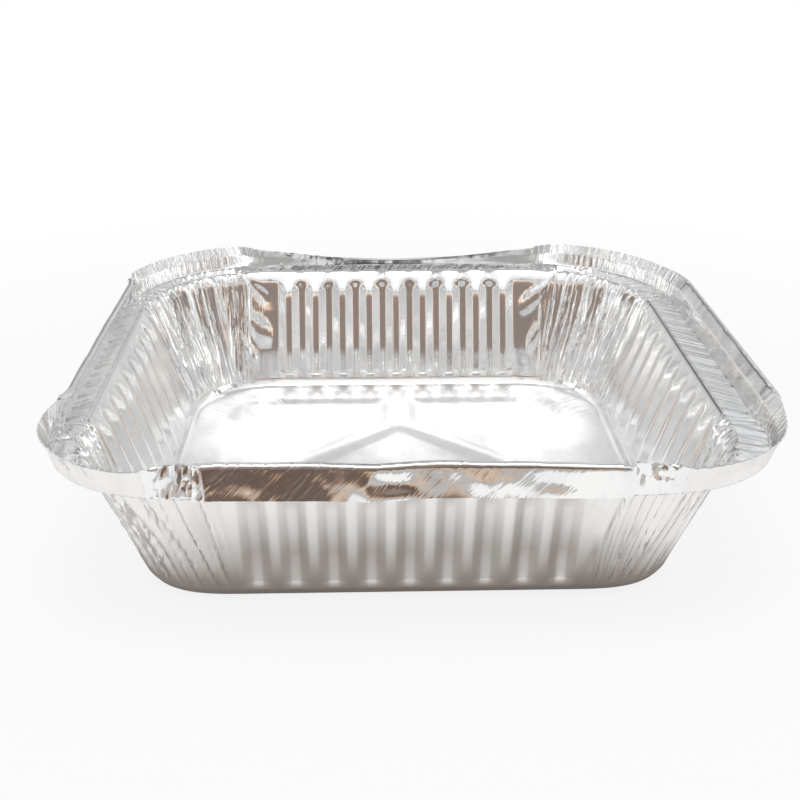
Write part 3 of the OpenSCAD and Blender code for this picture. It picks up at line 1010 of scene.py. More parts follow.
    def height(self, x: Grid, y: Grid) -> Grid:
        """Height of the floor's upper face.

        It is the ledge's height less the drop wherever a panel lies. A panel's share is a smooth
        step of the distance inside its outline: a rounded square cut by the straight ribs and by
        a slant line, or the diamond in the middle. Small dashes stand on the ledge in line with
        the wall's ribs.

        Args:
            x: Distance to the right.
            y: Distance to the back.

        Returns:
            Millimetres, shaped like x.
        """
        s = self.size
        ax, ay = np.abs(x), np.abs(y)
        half, corner = s.panels_w / 2, s.panel_corner_r
        qx, qy = ax - half + corner, ay - half + corner
        outside = np.hypot(np.clip(qx, 0, None), np.clip(qy, 0, None))
        outer = np.minimum(np.maximum(qx, qy), 0.0) + outside - corner
        slant = s.diamond_reach + s.slant_rib_w * math.sqrt(2)
        lower = np.minimum(ax, ay)
        cross = (lower - s.cross_rib_w / 2) / s.rib_slope_w
        edge = -outer / s.panel_slope_w
        across = (ax + ay - slant) / math.sqrt(2) / (0.8 * s.panel_slope_w)
        panel = soft_min(soft_min(cross, edge, 0.7), across, 0.7)
        keep = 0.93 * s.diamond_reach
        blunt = np.clip(np.maximum(ax, ay) - keep, 0.0, None)
        diamond = ((s.diamond_reach - ax - ay) / math.sqrt(2) - 0.6 * blunt) / s.panel_slope_w
        low = np.maximum(self.slope(panel), self.slope(diamond))
        z = s.ledge_z - s.panel_drop * low

        far, near = np.maximum(ax, ay), np.minimum(ax, ay)
        rib = (near / s.rib_pitch + 0.5) % 1.0 - 0.5
        on_wall = smooth_step(s.half_run + 1.0, s.half_run - 3.0, near)
        marks = np.exp(-((rib * s.rib_pitch / 1.2) ** 2) - ((far - 74.0) / 1.1) ** 2)
        uneven = self.noise.at(x / 9.0 + 40, y / 9.0 + 40)
        ring = smooth_step(67.0, 71.0, np.maximum(far, np.hypot(ax, ay) * 0.86))
        crumple = 0.34 * crease_wave(np.arctan2(y, x) * 17.0 + 1.5 * self.noise.at(x / 8.0, y / 8.0), 0.4)
        away = smooth_step(s.half_run - 4.0, s.half_run + 6.0, near)
        z = z + 0.2 * marks * on_wall * (0.9 + 0.5 * uneven) + ring * away * np.abs(crumple)
        z = z + 0.10 * (1.0 + self.noise.at(x / 13.0 + 9, y / 13.0 + 60)) * (0.4 + 0.6 * ring)
        return z

    def fold_marks(self, points: Grid) -> Grid:
        """Place and share of the fine folds on the floor, which lie in the corners of the ledge.

        Args:
            points: Points of any shape by three, in millimetres.

        Returns:
            Distance round, distance from the middle in metres, and the share of folds.
        """
        x, y = points[..., 0], points[..., 1]
        far, near = np.maximum(np.abs(x), np.abs(y)), np.minimum(np.abs(x), np.abs(y))
        radius = np.hypot(x, y)
        ring = smooth_step(65.0, 69.0, np.maximum(far, 0.86 * radius))
        share = ring * smooth_step(36.0, 50.0, near)
        return np.stack([np.arctan2(y, x) * 0.085, radius * MM, share], axis=-1)


@dataclass
class SheetMesh:
    """Gathers vertices and faces and makes them one mesh object."""

    name: str

    # Degrees between two faces from which the edge between them is sharp.
    SHARP_DEG = 62

    def __post_init__(self) -> None:
        """Starts with no vertices and no faces."""
        self.points: list[Grid] = []
        self.loops: list[Faces] = []
        self.sizes: list[Faces] = []
        self.slots: list[Faces] = []
        self.folds: list[Grid] = []
        self.count = 0

    def add_points(self, points: Grid, folds: Grid | None = None) -> Faces:
        """Adds vertices.

        Args:
            points: Points of any shape by three, in millimetres.
            folds: Place round the tray and height in metres and share of fine folds at each of them.

        Returns:
            Their numbers, shaped as the points are.
        """
        shape = points.shape[:-1]
        flat = points.reshape(-1, 3)
        numbers = np.arange(self.count, self.count + len(flat)).reshape(shape)
        self.points.append(flat)
        self.folds.append(np.zeros_like(flat) if folds is None else folds.reshape(-1, 3))
        self.count += len(flat)
        return numbers

    def add_faces(self, faces: Faces, face: FoilFace, flip: bool = False) -> None:
        """Adds faces of one size.

        Args:
            faces: Vertex numbers, faces by corners.
            face: Which face of the foil they belong to.
            flip: True to turn them round.
        """
        faces = faces[:, ::-1] if flip else faces
        self.loops.append(faces.reshape(-1))
        self.sizes.append(np.full(len(faces), faces.shape[1]))
        self.slots.append(np.full(len(faces), face.value))

    def add_band(
        self,
        low: Faces,
        high: Faces,
        face: FoilFace,
        flip: bool,
        closed: bool = True,
        only: NDArray[np.bool_] | None = None,
    ) -> None:
        """Adds four-cornered faces between two rows of vertices.

        Args:
            low: Numbers of the first row, or rows of them.
            high: Numbers of the second.
            face: Which face of the foil they belong to.
            flip: True to turn them round.
            closed: True if the rows run right round.
            only: True for each column of faces that is wanted, or None for all.
        """
        low, high = np.atleast_2d(low), np.atleast_2d(high)
        low_next, high_next = np.roll(low, -1, axis=1), np.roll(high, -1, axis=1)
        quads = np.stack([low, low_next, high_next, high], axis=-1)
        quads = quads if closed else quads[:, :-1]
        quads = quads if only is None else quads[:, only]
        self.add_faces(quads.reshape(-1, 4), face, flip)

    def build(self, finishes: list[bpy.types.Material]) -> bpy.types.Object:
        """Makes the mesh object, smooth shaded, with sharp edges where the foil is folded.

        Points past the box of the CAD are moved onto it, and the log says by how much at most.

        Args:
            finishes: Materials in the order of FoilFace.

        Returns:
            The new object.
        """
        mesh = bpy.data.meshes.new(self.name)
        points = np.clip(np.concatenate(self.points) * MM, *(np.array(corner) for corner in CAD_BOX))
        loops = np.concatenate(self.loops)
        sizes = np.concatenate(self.sizes)
        starts = np.concatenate([[0], np.cumsum(sizes)[:-1]])
        mesh.vertices.add(len(points))
        mesh.vertices.foreach_set("co", points.astype(np.float32).ravel())
        mesh.loops.add(len(loops))
        mesh.loops.foreach_set("vertex_index", loops.astype(np.int32))
        mesh.polygons.add(len(sizes))
        mesh.polygons.foreach_set("loop_start", starts.astype(np.int32))
        for finish in finishes:
            mesh.materials.append(finish)
        mesh.polygons.foreach_set("material_index", np.concatenate(self.slots).astype(np.int32))
        mesh.update(calc_edges=True)
        mesh.validate()
        mesh.polygons.foreach_set("use_smooth", np.ones(len(mesh.polygons), bool))
        folds = mesh.attributes.new("folds", "FLOAT_VECTOR", "POINT")
        folds.data.foreach_set("vector", np.concatenate(self.folds).astype(np.float32).ravel())
        mesh.set_sharp_from_angle(angle=math.radians(self.SHARP_DEG))
        mesh.update()
        thing = bpy.data.objects.new(self.name, mesh)
        bpy.context.scene.collection.objects.link(thing)
        triangles = int((sizes - 2).sum())
        over = np.abs(points - np.concatenate(self.points) * MM).max() / MM
        LOG.info("%s: %d vertices, %d triangles, trimmed by %.3f mm", self.name, len(points), triangles, over)
        return thing


@dataclass
class FoilTray:
    """The whole tray, one sheet, which stands for the CAD node foil_tray."""

    size: TraySizes

    # Shares of the fine folds in the walls' corners, on the shelf and on the front flap.
    WALL_FOLDS = 0.3
    SHELF_FOLDS = 0.85
    FLAP_FOLDS = 0.34

    def fold_marks(self, sheet: TraySheet, points: Grid, rows: Faces) -> Grid:
        """Place and share of the fine folds on a face of the walls, the shelf and the rim.

        Args:
            sheet: The sheet.
            points: Points of the face, rows by stations by three.
            rows: Number of each of its rows in the section.

        Returns:
            Distance round the tray and height in metres, and a share that is 1 on the corner rims.
        """
        st, s = sheet.stations, self.size
        arc = np.broadcast_to(st.arc(s.mouth_r), points.shape[:2])
        corner = smooth_step(0.05, 0.25, st.off_side)
        tall = rows[:, None].astype(float)
        below_mouth = 1 - smooth_step(sheet.mouth_row - 2, sheet.mouth_row, tall)
        wall = self.WALL_FOLDS * smooth_step(3.0, 7.0, tall) * below_mouth
        rim = smooth_step(sheet.rim_row, sheet.rim_row + 2, tall)
        share = corner * (wall + rim) * np.where(st.at_back, 1.0, 0.65)
        share = share * (1.0 - sheet.pinched())
        shelf = (tall > sheet.mouth_row + 1) & (tall < sheet.rim_row + 1) & st.on_side
        r = np.abs(((points[..., :2] - st.start) * st.out).sum(axis=-1))
        slanting = 0.5 * (arc + np.array(sheet.SHELF_SLANTS)[st.side_near] * (r - s.mouth_r))
        arc = np.where(shelf, slanting, arc)
        return np.stack([arc * MM, points[..., 2] * MM, np.where(shelf, self.SHELF_FOLDS, share)], axis=-1)

    def flap_marks(self, sheet: TraySheet, hem: Grid) -> Grid:
        """Place and share of the slanting folds on the front hem.

        Args:
            sheet: The sheet.
            hem: Points of the hem, rows by stations by three.

        Returns:
            Distance round the tray, moved on by the depth below the top, height in metres, and a share.
        """
        st, s = sheet.stations, self.size
        z = hem[..., 2]
        arc = 0.3 * (st.arc(s.mouth_r) + 0.9 * (z.max() - z))
        bright = np.arange(len(hem))[:, None] < sheet.hem_half
        share = np.where(bright & (st.side_near == Side.FRONT.value), self.FLAP_FOLDS, 0.0)
        return np.stack([arc * MM, z * MM, share], axis=-1)

    def build(self, finishes: list[bpy.types.Material]) -> bpy.types.Object:
        """Builds the sheet's closed skin.

        Args:
            finishes: Materials in the order of FoilFace.

        Returns:
            The tray's object.
        """
        sheet, pan = TraySheet(self.size), FloorPan(self.size)
        mesh = SheetMesh("tray_sheet")
        inner, outer = sheet.skins()
        a = mesh.add_points(inner, self.fold_marks(sheet, inner, np.arange(len(inner))))
        b = mesh.add_points(outer, self.fold_marks(sheet, outer, sheet.outer_rows()))
        mesh.add_band(a[:-1], a[1:], FoilFace.BRIGHT, flip=True)
        pinched = sheet.pinched() > 0.2
        rim = int(np.searchsorted(sheet.outer_rows(), sheet.rim_row))
        mesh.add_band(b[:rim], b[1 : rim + 1], FoilFace.SATIN, flip=False)
        mesh.add_band(b[rim:-1], b[rim + 1 :], FoilFace.SATIN, flip=False, only=~pinched)
        mesh.add_band(b[rim:-1], b[rim + 1 :], FoilFace.BRIGHT, flip=False, only=pinched)
        self.add_hems(sheet, mesh, a[-1], b[-1])
        self.add_floor(sheet, pan, mesh, a[0], b[0])
        return mesh.build(finishes)

    def add_hems(self, sheet: TraySheet, mesh: SheetMesh, top_in: Faces, top_out: Faces) -> None:
        """Adds the four hems, their ends, and the plain edge of the rim between them.

        Args:
            sheet: The sheet.
            mesh: Where the faces go.
            top_in: Numbers of the inner face's last row.
            top_out: Numbers of the outer face's last row.
        """
        hem = sheet.hem_rows()
        has = sheet.hemmed()
        both = has & np.roll(has, -1)
        nxt = np.roll(np.arange(len(has)), -1)
        plain = np.flatnonzero(~both)
        edge = np.stack([top_in[plain], top_in[nxt[plain]], top_out[nxt[plain]], top_out[plain]], -1)
        mesh.add_faces(edge, FoilFace.BRIGHT, flip=True)
        starts = np.flatnonzero(has & ~np.roll(has, 1))
        for first in starts:
            length = int(np.argmin(np.roll(has, -first)))
            run = (first + np.arange(length)) % len(has)
            half = sheet.hem_half
            body = mesh.add_points(hem[:, run], self.flap_marks(sheet, hem)[:, run])
            bright = np.concatenate([top_in[run][None], body[:half]])
            satin = np.concatenate([body[half:], top_out[run][None]])
            mesh.add_band(bright[:-1], bright[1:], FoilFace.BRIGHT, flip=True, closed=False)
            mesh.add_band(bright[-1], satin[0], FoilFace.BRIGHT, flip=True, closed=False)
            mesh.add_band(satin[:-1], satin[1:], FoilFace.SATIN, flip=True, closed=False)
            back = satin[::-1]
            for column, flip in ((0, True), (-1, False)):
                x, y = bright[:, column], back[:, column]
                caps = np.stack([x[:-1], x[1:], y[1:], y[:-1]], -1)
                mesh.add_faces(caps, FoilFace.BRIGHT, flip=flip)

    def add_floor(
        self, sheet: TraySheet, pan: FloorPan, mesh: SheetMesh, foot_in: Faces, foot_out: Faces
    ) -> None:
        """Adds both faces of the floor and joins them to the foot of the wall.

        Args:
            sheet: The sheet.
            pan: The floor.
            mesh: Where the faces go.
            foot_in: Numbers of the inner face's first row.
            foot_out: Numbers of the outer face's first row.
        """
        plan = pan.plan()
        z = pan.height(plan[..., 0], plan[..., 1])
        z[0] = self.size.ledge_z
        top = np.concatenate([plan, z[..., None]], axis=-1)
        under = top - np.array([0.0, 0.0, self.size.foil_t])
        middle = np.array([[0.0, 0.0, float(pan.height(np.zeros(1), np.zeros(1))[0])]])
        kept = np.append(np.arange(0, len(plan), 2), len(plan) - 1)
        for points, centre, foot, face, flip in (
            (top, middle, foot_in, FoilFace.BRIGHT, False),
            (under[kept], middle - [0.0, 0.0, self.size.foil_t], foot_out, FoilFace.SATIN, True),
        ):
            rows = mesh.add_points(points, pan.fold_marks(points))
            hub = mesh.add_points(centre)
            mesh.add_band(rows[:-1], rows[1:], face, flip=flip)
            last = rows[-1]
            fan = np.stack([last, np.roll(last, -1), np.full_like(last, hub[0])], -1)
            mesh.add_faces(fan, face, flip=flip)
            self.join_rings(sheet, pan, mesh, rows[0], foot, face, flip)

    def join_rings(
        self,
        sheet: TraySheet,
        pan: FloorPan,
        mesh: SheetMesh,
        ring: Faces,
        foot: Faces,
        face: FoilFace,
        flip: bool,
    ) -> None:
        """Joins the floor's outer ring to the finer ring at the foot of the wall.

        Every column of the floor meets the station that is nearest along the foot. Triangles fan
        from it over the stations up to the next column's, and one more closes the gap.

        Args:
            sheet: The sheet.
            pan: The floor.
            mesh: Where the faces go.
            ring: Numbers of the floor's outer ring.
            foot: Numbers of the wall's first row.
            face: Which face of the foil they belong to.
            flip: True to turn them round.
        """
        st = sheet.stations
        quarter = pan.square_line(self.size.foot_w / 2, self.size.foot_r)
        spot = np.arctan2(quarter[:, 1], quarter[:, 0])
        place = st.start + self.size.foot_r * st.out
        angle = np.arctan2(place[:, 1], place[:, 0])
        first = int(np.argmin(np.abs(angle)))
        steps = np.roll(angle, -first)[: st.quarter_n + 1]
        near = np.searchsorted((steps[1:] + steps[:-1]) / 2, spot)
        at = np.concatenate([near + k * st.quarter_n for k in range(4)])
        at = np.append(at, 4 * st.quarter_n) + first
        spans = np.diff(at)
        column = np.repeat(np.arange(pan.count), spans)
        station = np.arange(at[0], at[-1])
        n = st.count
        fans = np.stack([ring[column], foot[station % n], foot[(station + 1) % n]], -1)
        nxt = np.roll(ring, -1)
        closing = np.stack([ring, foot[at[1:] % n], nxt], -1)
        mesh.add_faces(fans, face, flip=flip)
        mesh.add_faces(closing, face, flip=flip)


class Wiring:
    """Short ways to add and link shader nodes in one tree."""

    def __init__(self, tree: bpy.types.NodeTree) -> None:
        """Keeps the tree."""
        self.tree = tree

    def node(self, kind: str, **settings: object) -> bpy.types.Node:
        """A new node of that kind with those settings."""
        node = self.tree.nodes.new(kind)
        for key, value in settings.items():
            setattr(node, key, value)
        return node

    def link(self, source: bpy.types.NodeSocket, target: bpy.types.NodeSocket) -> None:
        """Joins an output to an input."""
        self.tree.links.new(source, target)

    def feed(self, socket: bpy.types.NodeSocket, value: object) -> None:
        """Sets an input, or links it if the value is an output."""
        if isinstance(value, bpy.types.NodeSocket):
            self.link(value, socket)
        else:
            socket.default_value = value

    def math(self, operation: str, *values: object) -> bpy.types.NodeSocket:
        """A Math node's result."""
        node = self.node("ShaderNodeMath", operation=operation)
        for socket, value in zip(node.inputs, values):
            self.feed(socket, value)
        return node.outputs[0]

    def range(
        self, value: object, low: float, high: float, to_low: float = 0.0, to_high: float = 1.0
    ) -> bpy.types.NodeSocket:
        """Maps a value from one range to another with a smooth step."""
        node = self.node("ShaderNodeMapRange", interpolation_type="SMOOTHSTEP")
        for socket, part in zip(node.inputs, (value, low, high, to_low, to_high)):
            self.feed(socket, part)
        return node.outputs[0]

    def range_plain(self, value: object, low: float, high: float) -> bpy.types.NodeSocket:
        """Maps a value from a range to 0 to 1 along a straight line."""
        node = self.node("ShaderNodeMapRange")
        for socket, part in zip(node.inputs, (value, low, high)):
            self.feed(socket, part)
        return node.outputs[0]

    def times(self, first: object, second: object) -> bpy.types.NodeSocket:
        """The product of two numbers."""
        return self.math("MULTIPLY", first, second)

    def off(self, value: object, middle: float) -> bpy.types.NodeSocket:
        """How far a value is from a middle."""
        return self.math("ABSOLUTE", self.math("SUBTRACT", value, middle))

    def within(
        self, value: object, rise: tuple[float, float], fall: tuple[float, float]
    ) -> bpy.types.NodeSocket:
        """1 between a smooth rise over one range and a smooth fall over the other, from its far end."""
        return self.times(self.range(value, *rise), self.range(value, *fall))

    def blend(self, share: object, first: object, second: object, target: object) -> None:
        """Feeds a mix of two shaders to a target."""
        node = self.node("ShaderNodeMixShader")
        for source, socket in zip((share, first, second), node.inputs):
            self.link(source, socket)
        self.link(node.outputs[0], target)

    def length(self, first: object, second: object) -> bpy.types.NodeSocket:
        """The length of a flat vector."""
        squares = [self.math("MULTIPLY", part, part) for part in (first, second)]
        return self.math("SQRT", self.math("ADD", *squares))

    def multiply(self, first: object, second: object) -> bpy.types.NodeSocket:
        """The product of two colours."""
        return self.mix(1.0, first, second, blend_type="MULTIPLY")

    def noise(self, vector: object, scale: float, detail: float, rough: float) -> bpy.types.NodeSocket:
        """A Noise node's factor."""
        node = self.node("ShaderNodeTexNoise")
        self.feed(node.inputs["Vector"], vector)
        node.inputs["Scale"].default_value = scale
        node.inputs["Detail"].default_value = detail
        node.inputs["Roughness"].default_value = rough
        return node.outputs["Fac"]

    def stretch(self, vector: object, scale: tuple[float, float, float]) -> bpy.types.NodeSocket:
        """A vector scaled along the three axes."""
        node = self.node("ShaderNodeMapping")
        self.feed(node.inputs["Vector"], vector)
        node.inputs["Scale"].default_value = scale
        return node.outputs[0]

    def mix(self, share: object, first: object, second: object, **settings: str) -> bpy.types.NodeSocket:
        """A mix of two colours."""
        node = self.node("ShaderNodeMix", data_type="RGBA", **settings)
        self.feed(node.inputs["Factor"], share)
        self.feed(node.inputs[6], first)
        self.feed(node.inputs[7], second)
        return node.outputs[2]


class FoilGrain:
    """Node group with the marks that both faces carry: rolling lines, smears, pin dents and fine folds."""

    NAME = "foil_grain"
    # Stretch, scale, detail and roughness of each noise.
    LINES = ((1.0, 0.02, 1.0), 1400.0, 3.0, 0.6)
    SMEARS = ((1.0, 0.6, 0.8), 75.0, 4.0, 0.62)
    DENTS = ((1.0, 1.0, 1.0), 260.0, 2.0, 0.5)
    FOLDS = ((1.0, 0.07, 0.0), 600.0, 3.0, 0.55)
    # Share of each in the height; the dents' is 1.
    LINES_HEIGHT = 0.25
    SMEARS_HEIGHT = 1.6
    FOLDS_HEIGHT = 30.0

    @classmethod
    def group(cls) -> bpy.types.NodeTree:
        """Builds the group once and returns it.

        Returns:
            The node group, with the inputs Vector and Folds and the outputs Lines, Smears and Height.
        """
        if cls.NAME in bpy.data.node_groups:
            return bpy.data.node_groups[cls.NAME]
        tree = bpy.data.node_groups.new(cls.NAME, "ShaderNodeTree")
        for name in ("Vector", "Folds"):
            tree.interface.new_socket(name, in_out="INPUT", socket_type="NodeSocketVector")
        for name in ("Lines", "Smears", "Height"):
            tree.interface.new_socket(name, in_out="OUTPUT", socket_type="NodeSocketFloat")
        w = Wiring(tree)
        inside, out = w.node("NodeGroupInput"), w.node("NodeGroupOutput")
        place = inside.outputs["Vector"]
        marks = inside.outputs["Folds"]
        lines, smears, dents, streaks = (
            w.noise(w.stretch(vector, stretch), scale, detail, rough)
            for vector, (stretch, scale, detail, rough) in (
                (place, cls.LINES), (place, cls.SMEARS), (place, cls.DENTS), (marks, cls.FOLDS)
            )
        )
        split = w.node("ShaderNodeSeparateXYZ")
        w.link(marks, split.inputs[0])
        folds = w.times(w.times(w.off(streaks, 0.5), split.outputs["Z"]), cls.FOLDS_HEIGHT)
        height = w.math("ADD", w.times(lines, cls.LINES_HEIGHT), dents)
        height = w.math("ADD", w.math("ADD", height, w.times(smears, cls.SMEARS_HEIGHT)), folds)
        w.link(lines, out.inputs["Lines"])
        w.link(smears, out.inputs["Smears"])
        w.link(height, out.inputs["Height"])
        return tree


@dataclass(frozen=True)
class FoilFinish:
    """Finish of one face of the foil.

    Attributes:
        name: Name of the material.
        colour: Colour of the metal.
        shade: Colour in the smears.
        sheen_low: Roughness where the foil is smoothest.
        sheen_high: Roughness where it is dullest.
        relief: Depth of the fine marks in metres.
    """

    name: str
    colour: tuple[float, float, float]
    shade: tuple[float, float, float]
    sheen_low: float
    sheen_high: float
    relief: float

    # Share of the rolling lines in the roughness, and the heights in metres over which the floor's
    # lowest parts lose the roughness that is added to them.
    LINES_ROUGH = 0.05
    LOW_BAND = (0.0018, 0.0026)
    LOW_ROUGH = 0.2

    def build(self) -> bpy.types.Material:
        """Builds the material.

        Returns:
            The material.
        """
        material = bpy.data.materials.new(self.name)
        material.use_nodes = True
        tree = material.node_tree
        tree.nodes.clear()
        w = Wiring(tree)
        out = w.node("ShaderNodeOutputMaterial")
        metal = w.node("ShaderNodeBsdfPrincipled")
        metal.inputs["Metallic"].default_value = 1.0
        place = w.node("ShaderNodeTexCoord").outputs["Object"]
        grain = w.node("ShaderNodeGroup", node_tree=FoilGrain.group())
        w.link(place, grain.inputs["Vector"])
        folds = w.node("ShaderNodeAttribute", attribute_name="folds")
        w.link(folds.outputs["Vector"], grain.inputs["Folds"])
        smears = w.range(grain.outputs["Smears"], 0.38, 0.68)
        tint = w.mix(smears, (*self.colour, 1.0), (*self.shade, 1.0))
        w.link(tint, metal.inputs["Base Color"])
        rough = w.range(grain.outputs["Smears"], 0.35, 0.7, self.sheen_low, self.sheen_high)
        rough = w.math("ADD", rough, w.times(grain.outputs["Lines"], self.LINES_ROUGH))
        height = w.node("ShaderNodeSeparateXYZ")
        w.link(place, height.inputs[0])
        rough = w.math("ADD", rough, w.range(height.outputs["Z"], *self.LOW_BAND, self.LOW_ROUGH, 0.0))
        w.link(rough, metal.inputs["Roughness"])
        bump = w.node("ShaderNodeBump")
        bump.inputs["Strength"].default_value = 1.0
        bump.inputs["Distance"].default_value = self.relief
        w.link(grain.outputs["Height"], bump.inputs["Height"])
        w.link(bump.outputs["Normal"], metal.inputs["Normal"])
        w.link(metal.outputs[0], out.inputs["Surface"])
        return material


@dataclass
class Studio:
    """Pale table, the room that the foil mirrors, soft light from above and the camera.

    The room's parts are given by direction: x to the right, y to the back and z upwards, as
    parts of a vector one long. A pair of numbers is a range over which a part starts or ends.

    Attributes:
        focal_px: Focal length in pixels of the 800 pixel frame.
        tilt: Downward tilt of the camera in radians.
        turn: Turn of the camera about the upright, in radians.
        spot: Place of the camera in metres.
        frame_px: Width and height of the frame.
        centre_y_px: Height in the frame of the point straight ahead.
        table_white: Share of plain white in the table as the camera sees it.
    """

    # Table: its corners beside the tray's foot in metres, its painted shadow in mirrors, brown and darker
    # towards the foot, by distance from it, the distances over which it turns white for the camera, and the
    # strength of its painted glow in mirrors.
    FOOT_CORNER = 0.0306
    NEAR_REACH = 0.12
    FOOT_SHADOW_IN_MIRRORS = (
        (0.0, (0.16, 0.135, 0.12)),
        (0.07, (0.27, 0.24, 0.22)),
        (0.14, (0.64, 0.62, 0.60)),
        (0.22, (1.0, 0.995, 0.99)),
    )
    WHITE_AWAY = (0.17, 0.42)
    MIRRORED_TABLE_GLOW = 0.92
    # Grey of the room's panels by height, in front and behind.
    FRONT_HEIGHTS = (
        (0.0, (0.50, 0.49, 0.48)),
        (0.30, (0.50, 0.49, 0.48)),
        (0.50, (0.70, 0.70, 0.70)),
        (0.575, (0.64, 0.64, 0.64)),
        (0.62, (0.50, 0.50, 0.50)),
        (0.71, (0.50, 0.50, 0.50)),
        (0.78, (0.84, 0.84, 0.84)),
        (0.88, (1.0, 1.0, 1.0)),
        (0.95, (1.0, 1.0, 1.0)),
        (0.975, (0.58, 0.58, 0.58)),
    )
    BACK_HEIGHTS = (
        (0.0, (0.60, 0.60, 0.60)),
        (0.44, (0.85, 0.85, 0.85)),
        (0.57, (0.80, 0.80, 0.80)),
        (0.61, (0.50, 0.50, 0.50)),
        (0.70, (0.50, 0.50, 0.50)),
        (0.74, (0.88, 0.88, 0.88)),
        (0.81, (0.90, 0.90, 0.90)),
        (0.87, (0.62, 0.62, 0.61)),
        (0.92, (0.40, 0.40, 0.39)),
        (0.98, (0.40, 0.40, 0.39)),
        (1.0, (0.60, 0.60, 0.60)),
    )
    # Colours of the dark oval in front, from its middle to past its copper edge.
    OVAL = (
        (0.0, (0.26, 0.215, 0.195)),
        (0.395, (0.30, 0.24, 0.21)),
        (0.42, (0.72, 0.45, 0.29)),
        (0.465, (0.98, 0.76, 0.58)),
        (0.505, (1.0, 1.0, 1.0)),
    )
    OVAL_MIDDLE_Z = 0.15
    OVAL_HALVES = (0.62, 0.40)
    OVAL_END = (1.02, 1.10)
    OVAL_Y = (-0.1, 0.1)
    # Dark gaps between the panels, one for each step round, and the bright middles of the side panels.
    GAP_STEP = math.radians(30.0)
    GAP_GREY = 0.1
    GAP_EDGE = (0.04, 0.085)
    BRIGHT_X = (0.74, 0.86)
    BRIGHT_EDGE = (0.22, 0.30)
    BRIGHT_GAIN = 0.7
    # Where the room's back starts.
    BEHIND = (-0.08, 0.12)
    # Heights: the band mirrored by the shelf, the ledge over the panels, and where the gaps end.
    SHELF_Z = 0.35
    SHELF_BAND = (0.11, 0.07)
    LEDGE_Z = 0.60
    LEDGE_EDGE = (0.012, 0.03)
    LEDGE_GREY = 0.5
    GAPS_TOP = (0.62, 0.74)
    GAPS_FOOT = (0.26, 0.18)
    FOOT_FADE = 0.85
    # Tinted parts: each is a rise and a fall along one direction, or one of them.
    LEFT_X = ((-0.45, -0.38), (-0.155, -0.185))
    RIGHT_X = ((0.13, 0.18), (0.45, 0.38))
    SIDE_X = (0.5, 0.8)
    SIDE_Z = (0.7, 0.5)
    BROW_X = (0.22, 0.32)
    BROW_Z = ((-0.12, -0.04), (0.22, 0.16))
    WARM_MIDDLE_X = -0.02
    WARM_X = (0.20, 0.10)
    WARM_Z = ((-0.42, -0.30), (-0.08, -0.18))
    LOW_Z = (-0.04, 0.14)
    # Dark door behind: its middle, half its width and height with soft edges, and its colour.
    DOOR_MIDDLE = (0.02, 0.255)
    DOOR_X = (0.10, 0.19)
    DOOR_Z = (0.04, 0.065)
    DOOR_Y = (0.3, 0.1)
    DOOR = (0.17, 0.165, 0.155, 1.0)
    PLAIN = (1.0, 1.0, 1.0, 1.0)
    LEFT_SHADE = (0.38, 0.38, 0.375, 1.0)
    RIGHT_SHEEN = (1.22, 1.25, 1.28, 1.0)
    SIDE_SHEEN = (1.3, 1.3, 1.29, 1.0)
    LOW_SHADE = (0.50, 0.44, 0.40, 1.0)
    BROW_SHADE = (0.88, 0.88, 0.87, 1.0)
    COPPER = (1.5, 1.1, 0.8, 1.0)
    # Soft light on what isn't mirrored: its strength at the horizon, and what is added overhead.
    SKY = (0.16, 0.70)

    focal_px: float = 1243.864
    tilt: float = 0.3805
    turn: float = -0.02635
    spot: tuple[float, float, float] = (-0.01130, -0.40274, 0.20196)
    frame_px: float = 800.0
    centre_y_px: float = 369.5
    table_white: float = 0.84

    def camera(self) -> bpy.types.Object:
        """Makes the camera with the photograph's viewing angle.

        Returns:
            The camera.
        """
        data = bpy.data.cameras.new("camera")
        data.sensor_width = 36.0
        data.lens = self.focal_px / self.frame_px * data.sensor_width
        data.shift_y = (self.centre_y_px - self.frame_px / 2) / self.frame_px
        data.clip_start = 0.01
        camera = bpy.data.objects.new("camera", data)
        camera.location = self.spot
        camera.rotation_euler = (math.pi / 2 - self.tilt, 0.0, self.turn)
        bpy.context.scene.collection.objects.link(camera)
        bpy.context.scene.camera = camera
        return camera

    def floor(self) -> bpy.types.Object:
        """Makes the pale table top, which ends in front of the tray.

        The camera sees it nearly white beside the tray and plain white further off. In the foil's
        mirrors it glows instead of being lit, with a painted shadow that darkens to brown towards the tray's
        foot.

        Returns:
            The floor's object.
        """
        mesh = bpy.data.meshes.new("table_top")
        x, back, front = 3.0, 5.0, -0.20
        mesh.from_pydata([(-x, front, 0), (x, front, 0), (x, back, 0), (-x, back, 0)], [], [(0, 1, 2, 3)])
        floor = bpy.data.objects.new("table_top", mesh)
        bpy.context.scene.collection.objects.link(floor)
        material = bpy.data.materials.new("table_white")
        material.use_nodes = True
        tree = material.node_tree
        tree.nodes.clear()
        w = Wiring(tree)
        out = w.node("ShaderNodeOutputMaterial")
        paint = w.node("ShaderNodeBsdfDiffuse")
        paint.inputs["Color"].default_value = (0.93, 0.93, 0.93, 1.0)
        white = w.node("ShaderNodeEmission")
        path = w.node("ShaderNodeLightPath")
        split = w.node("ShaderNodeSeparateXYZ")
        w.link(w.node("ShaderNodeTexCoord").outputs["Object"], split.inputs[0])
        x, y, _ = split.outputs
        away = w.length(x, y)
        seen = w.times(path.outputs["Is Camera Ray"], w.range(away, *self.WHITE_AWAY, self.table_white, 1.0))
        flat = (TraySizes.foot_w / 2) * MM - self.FOOT_CORNER
        past = [w.math("MAXIMUM", w.math("SUBTRACT", w.math("ABSOLUTE", side), flat), 0.0) for side in (x, y)]
        gap = w.math("SUBTRACT", w.length(*past), self.FOOT_CORNER)
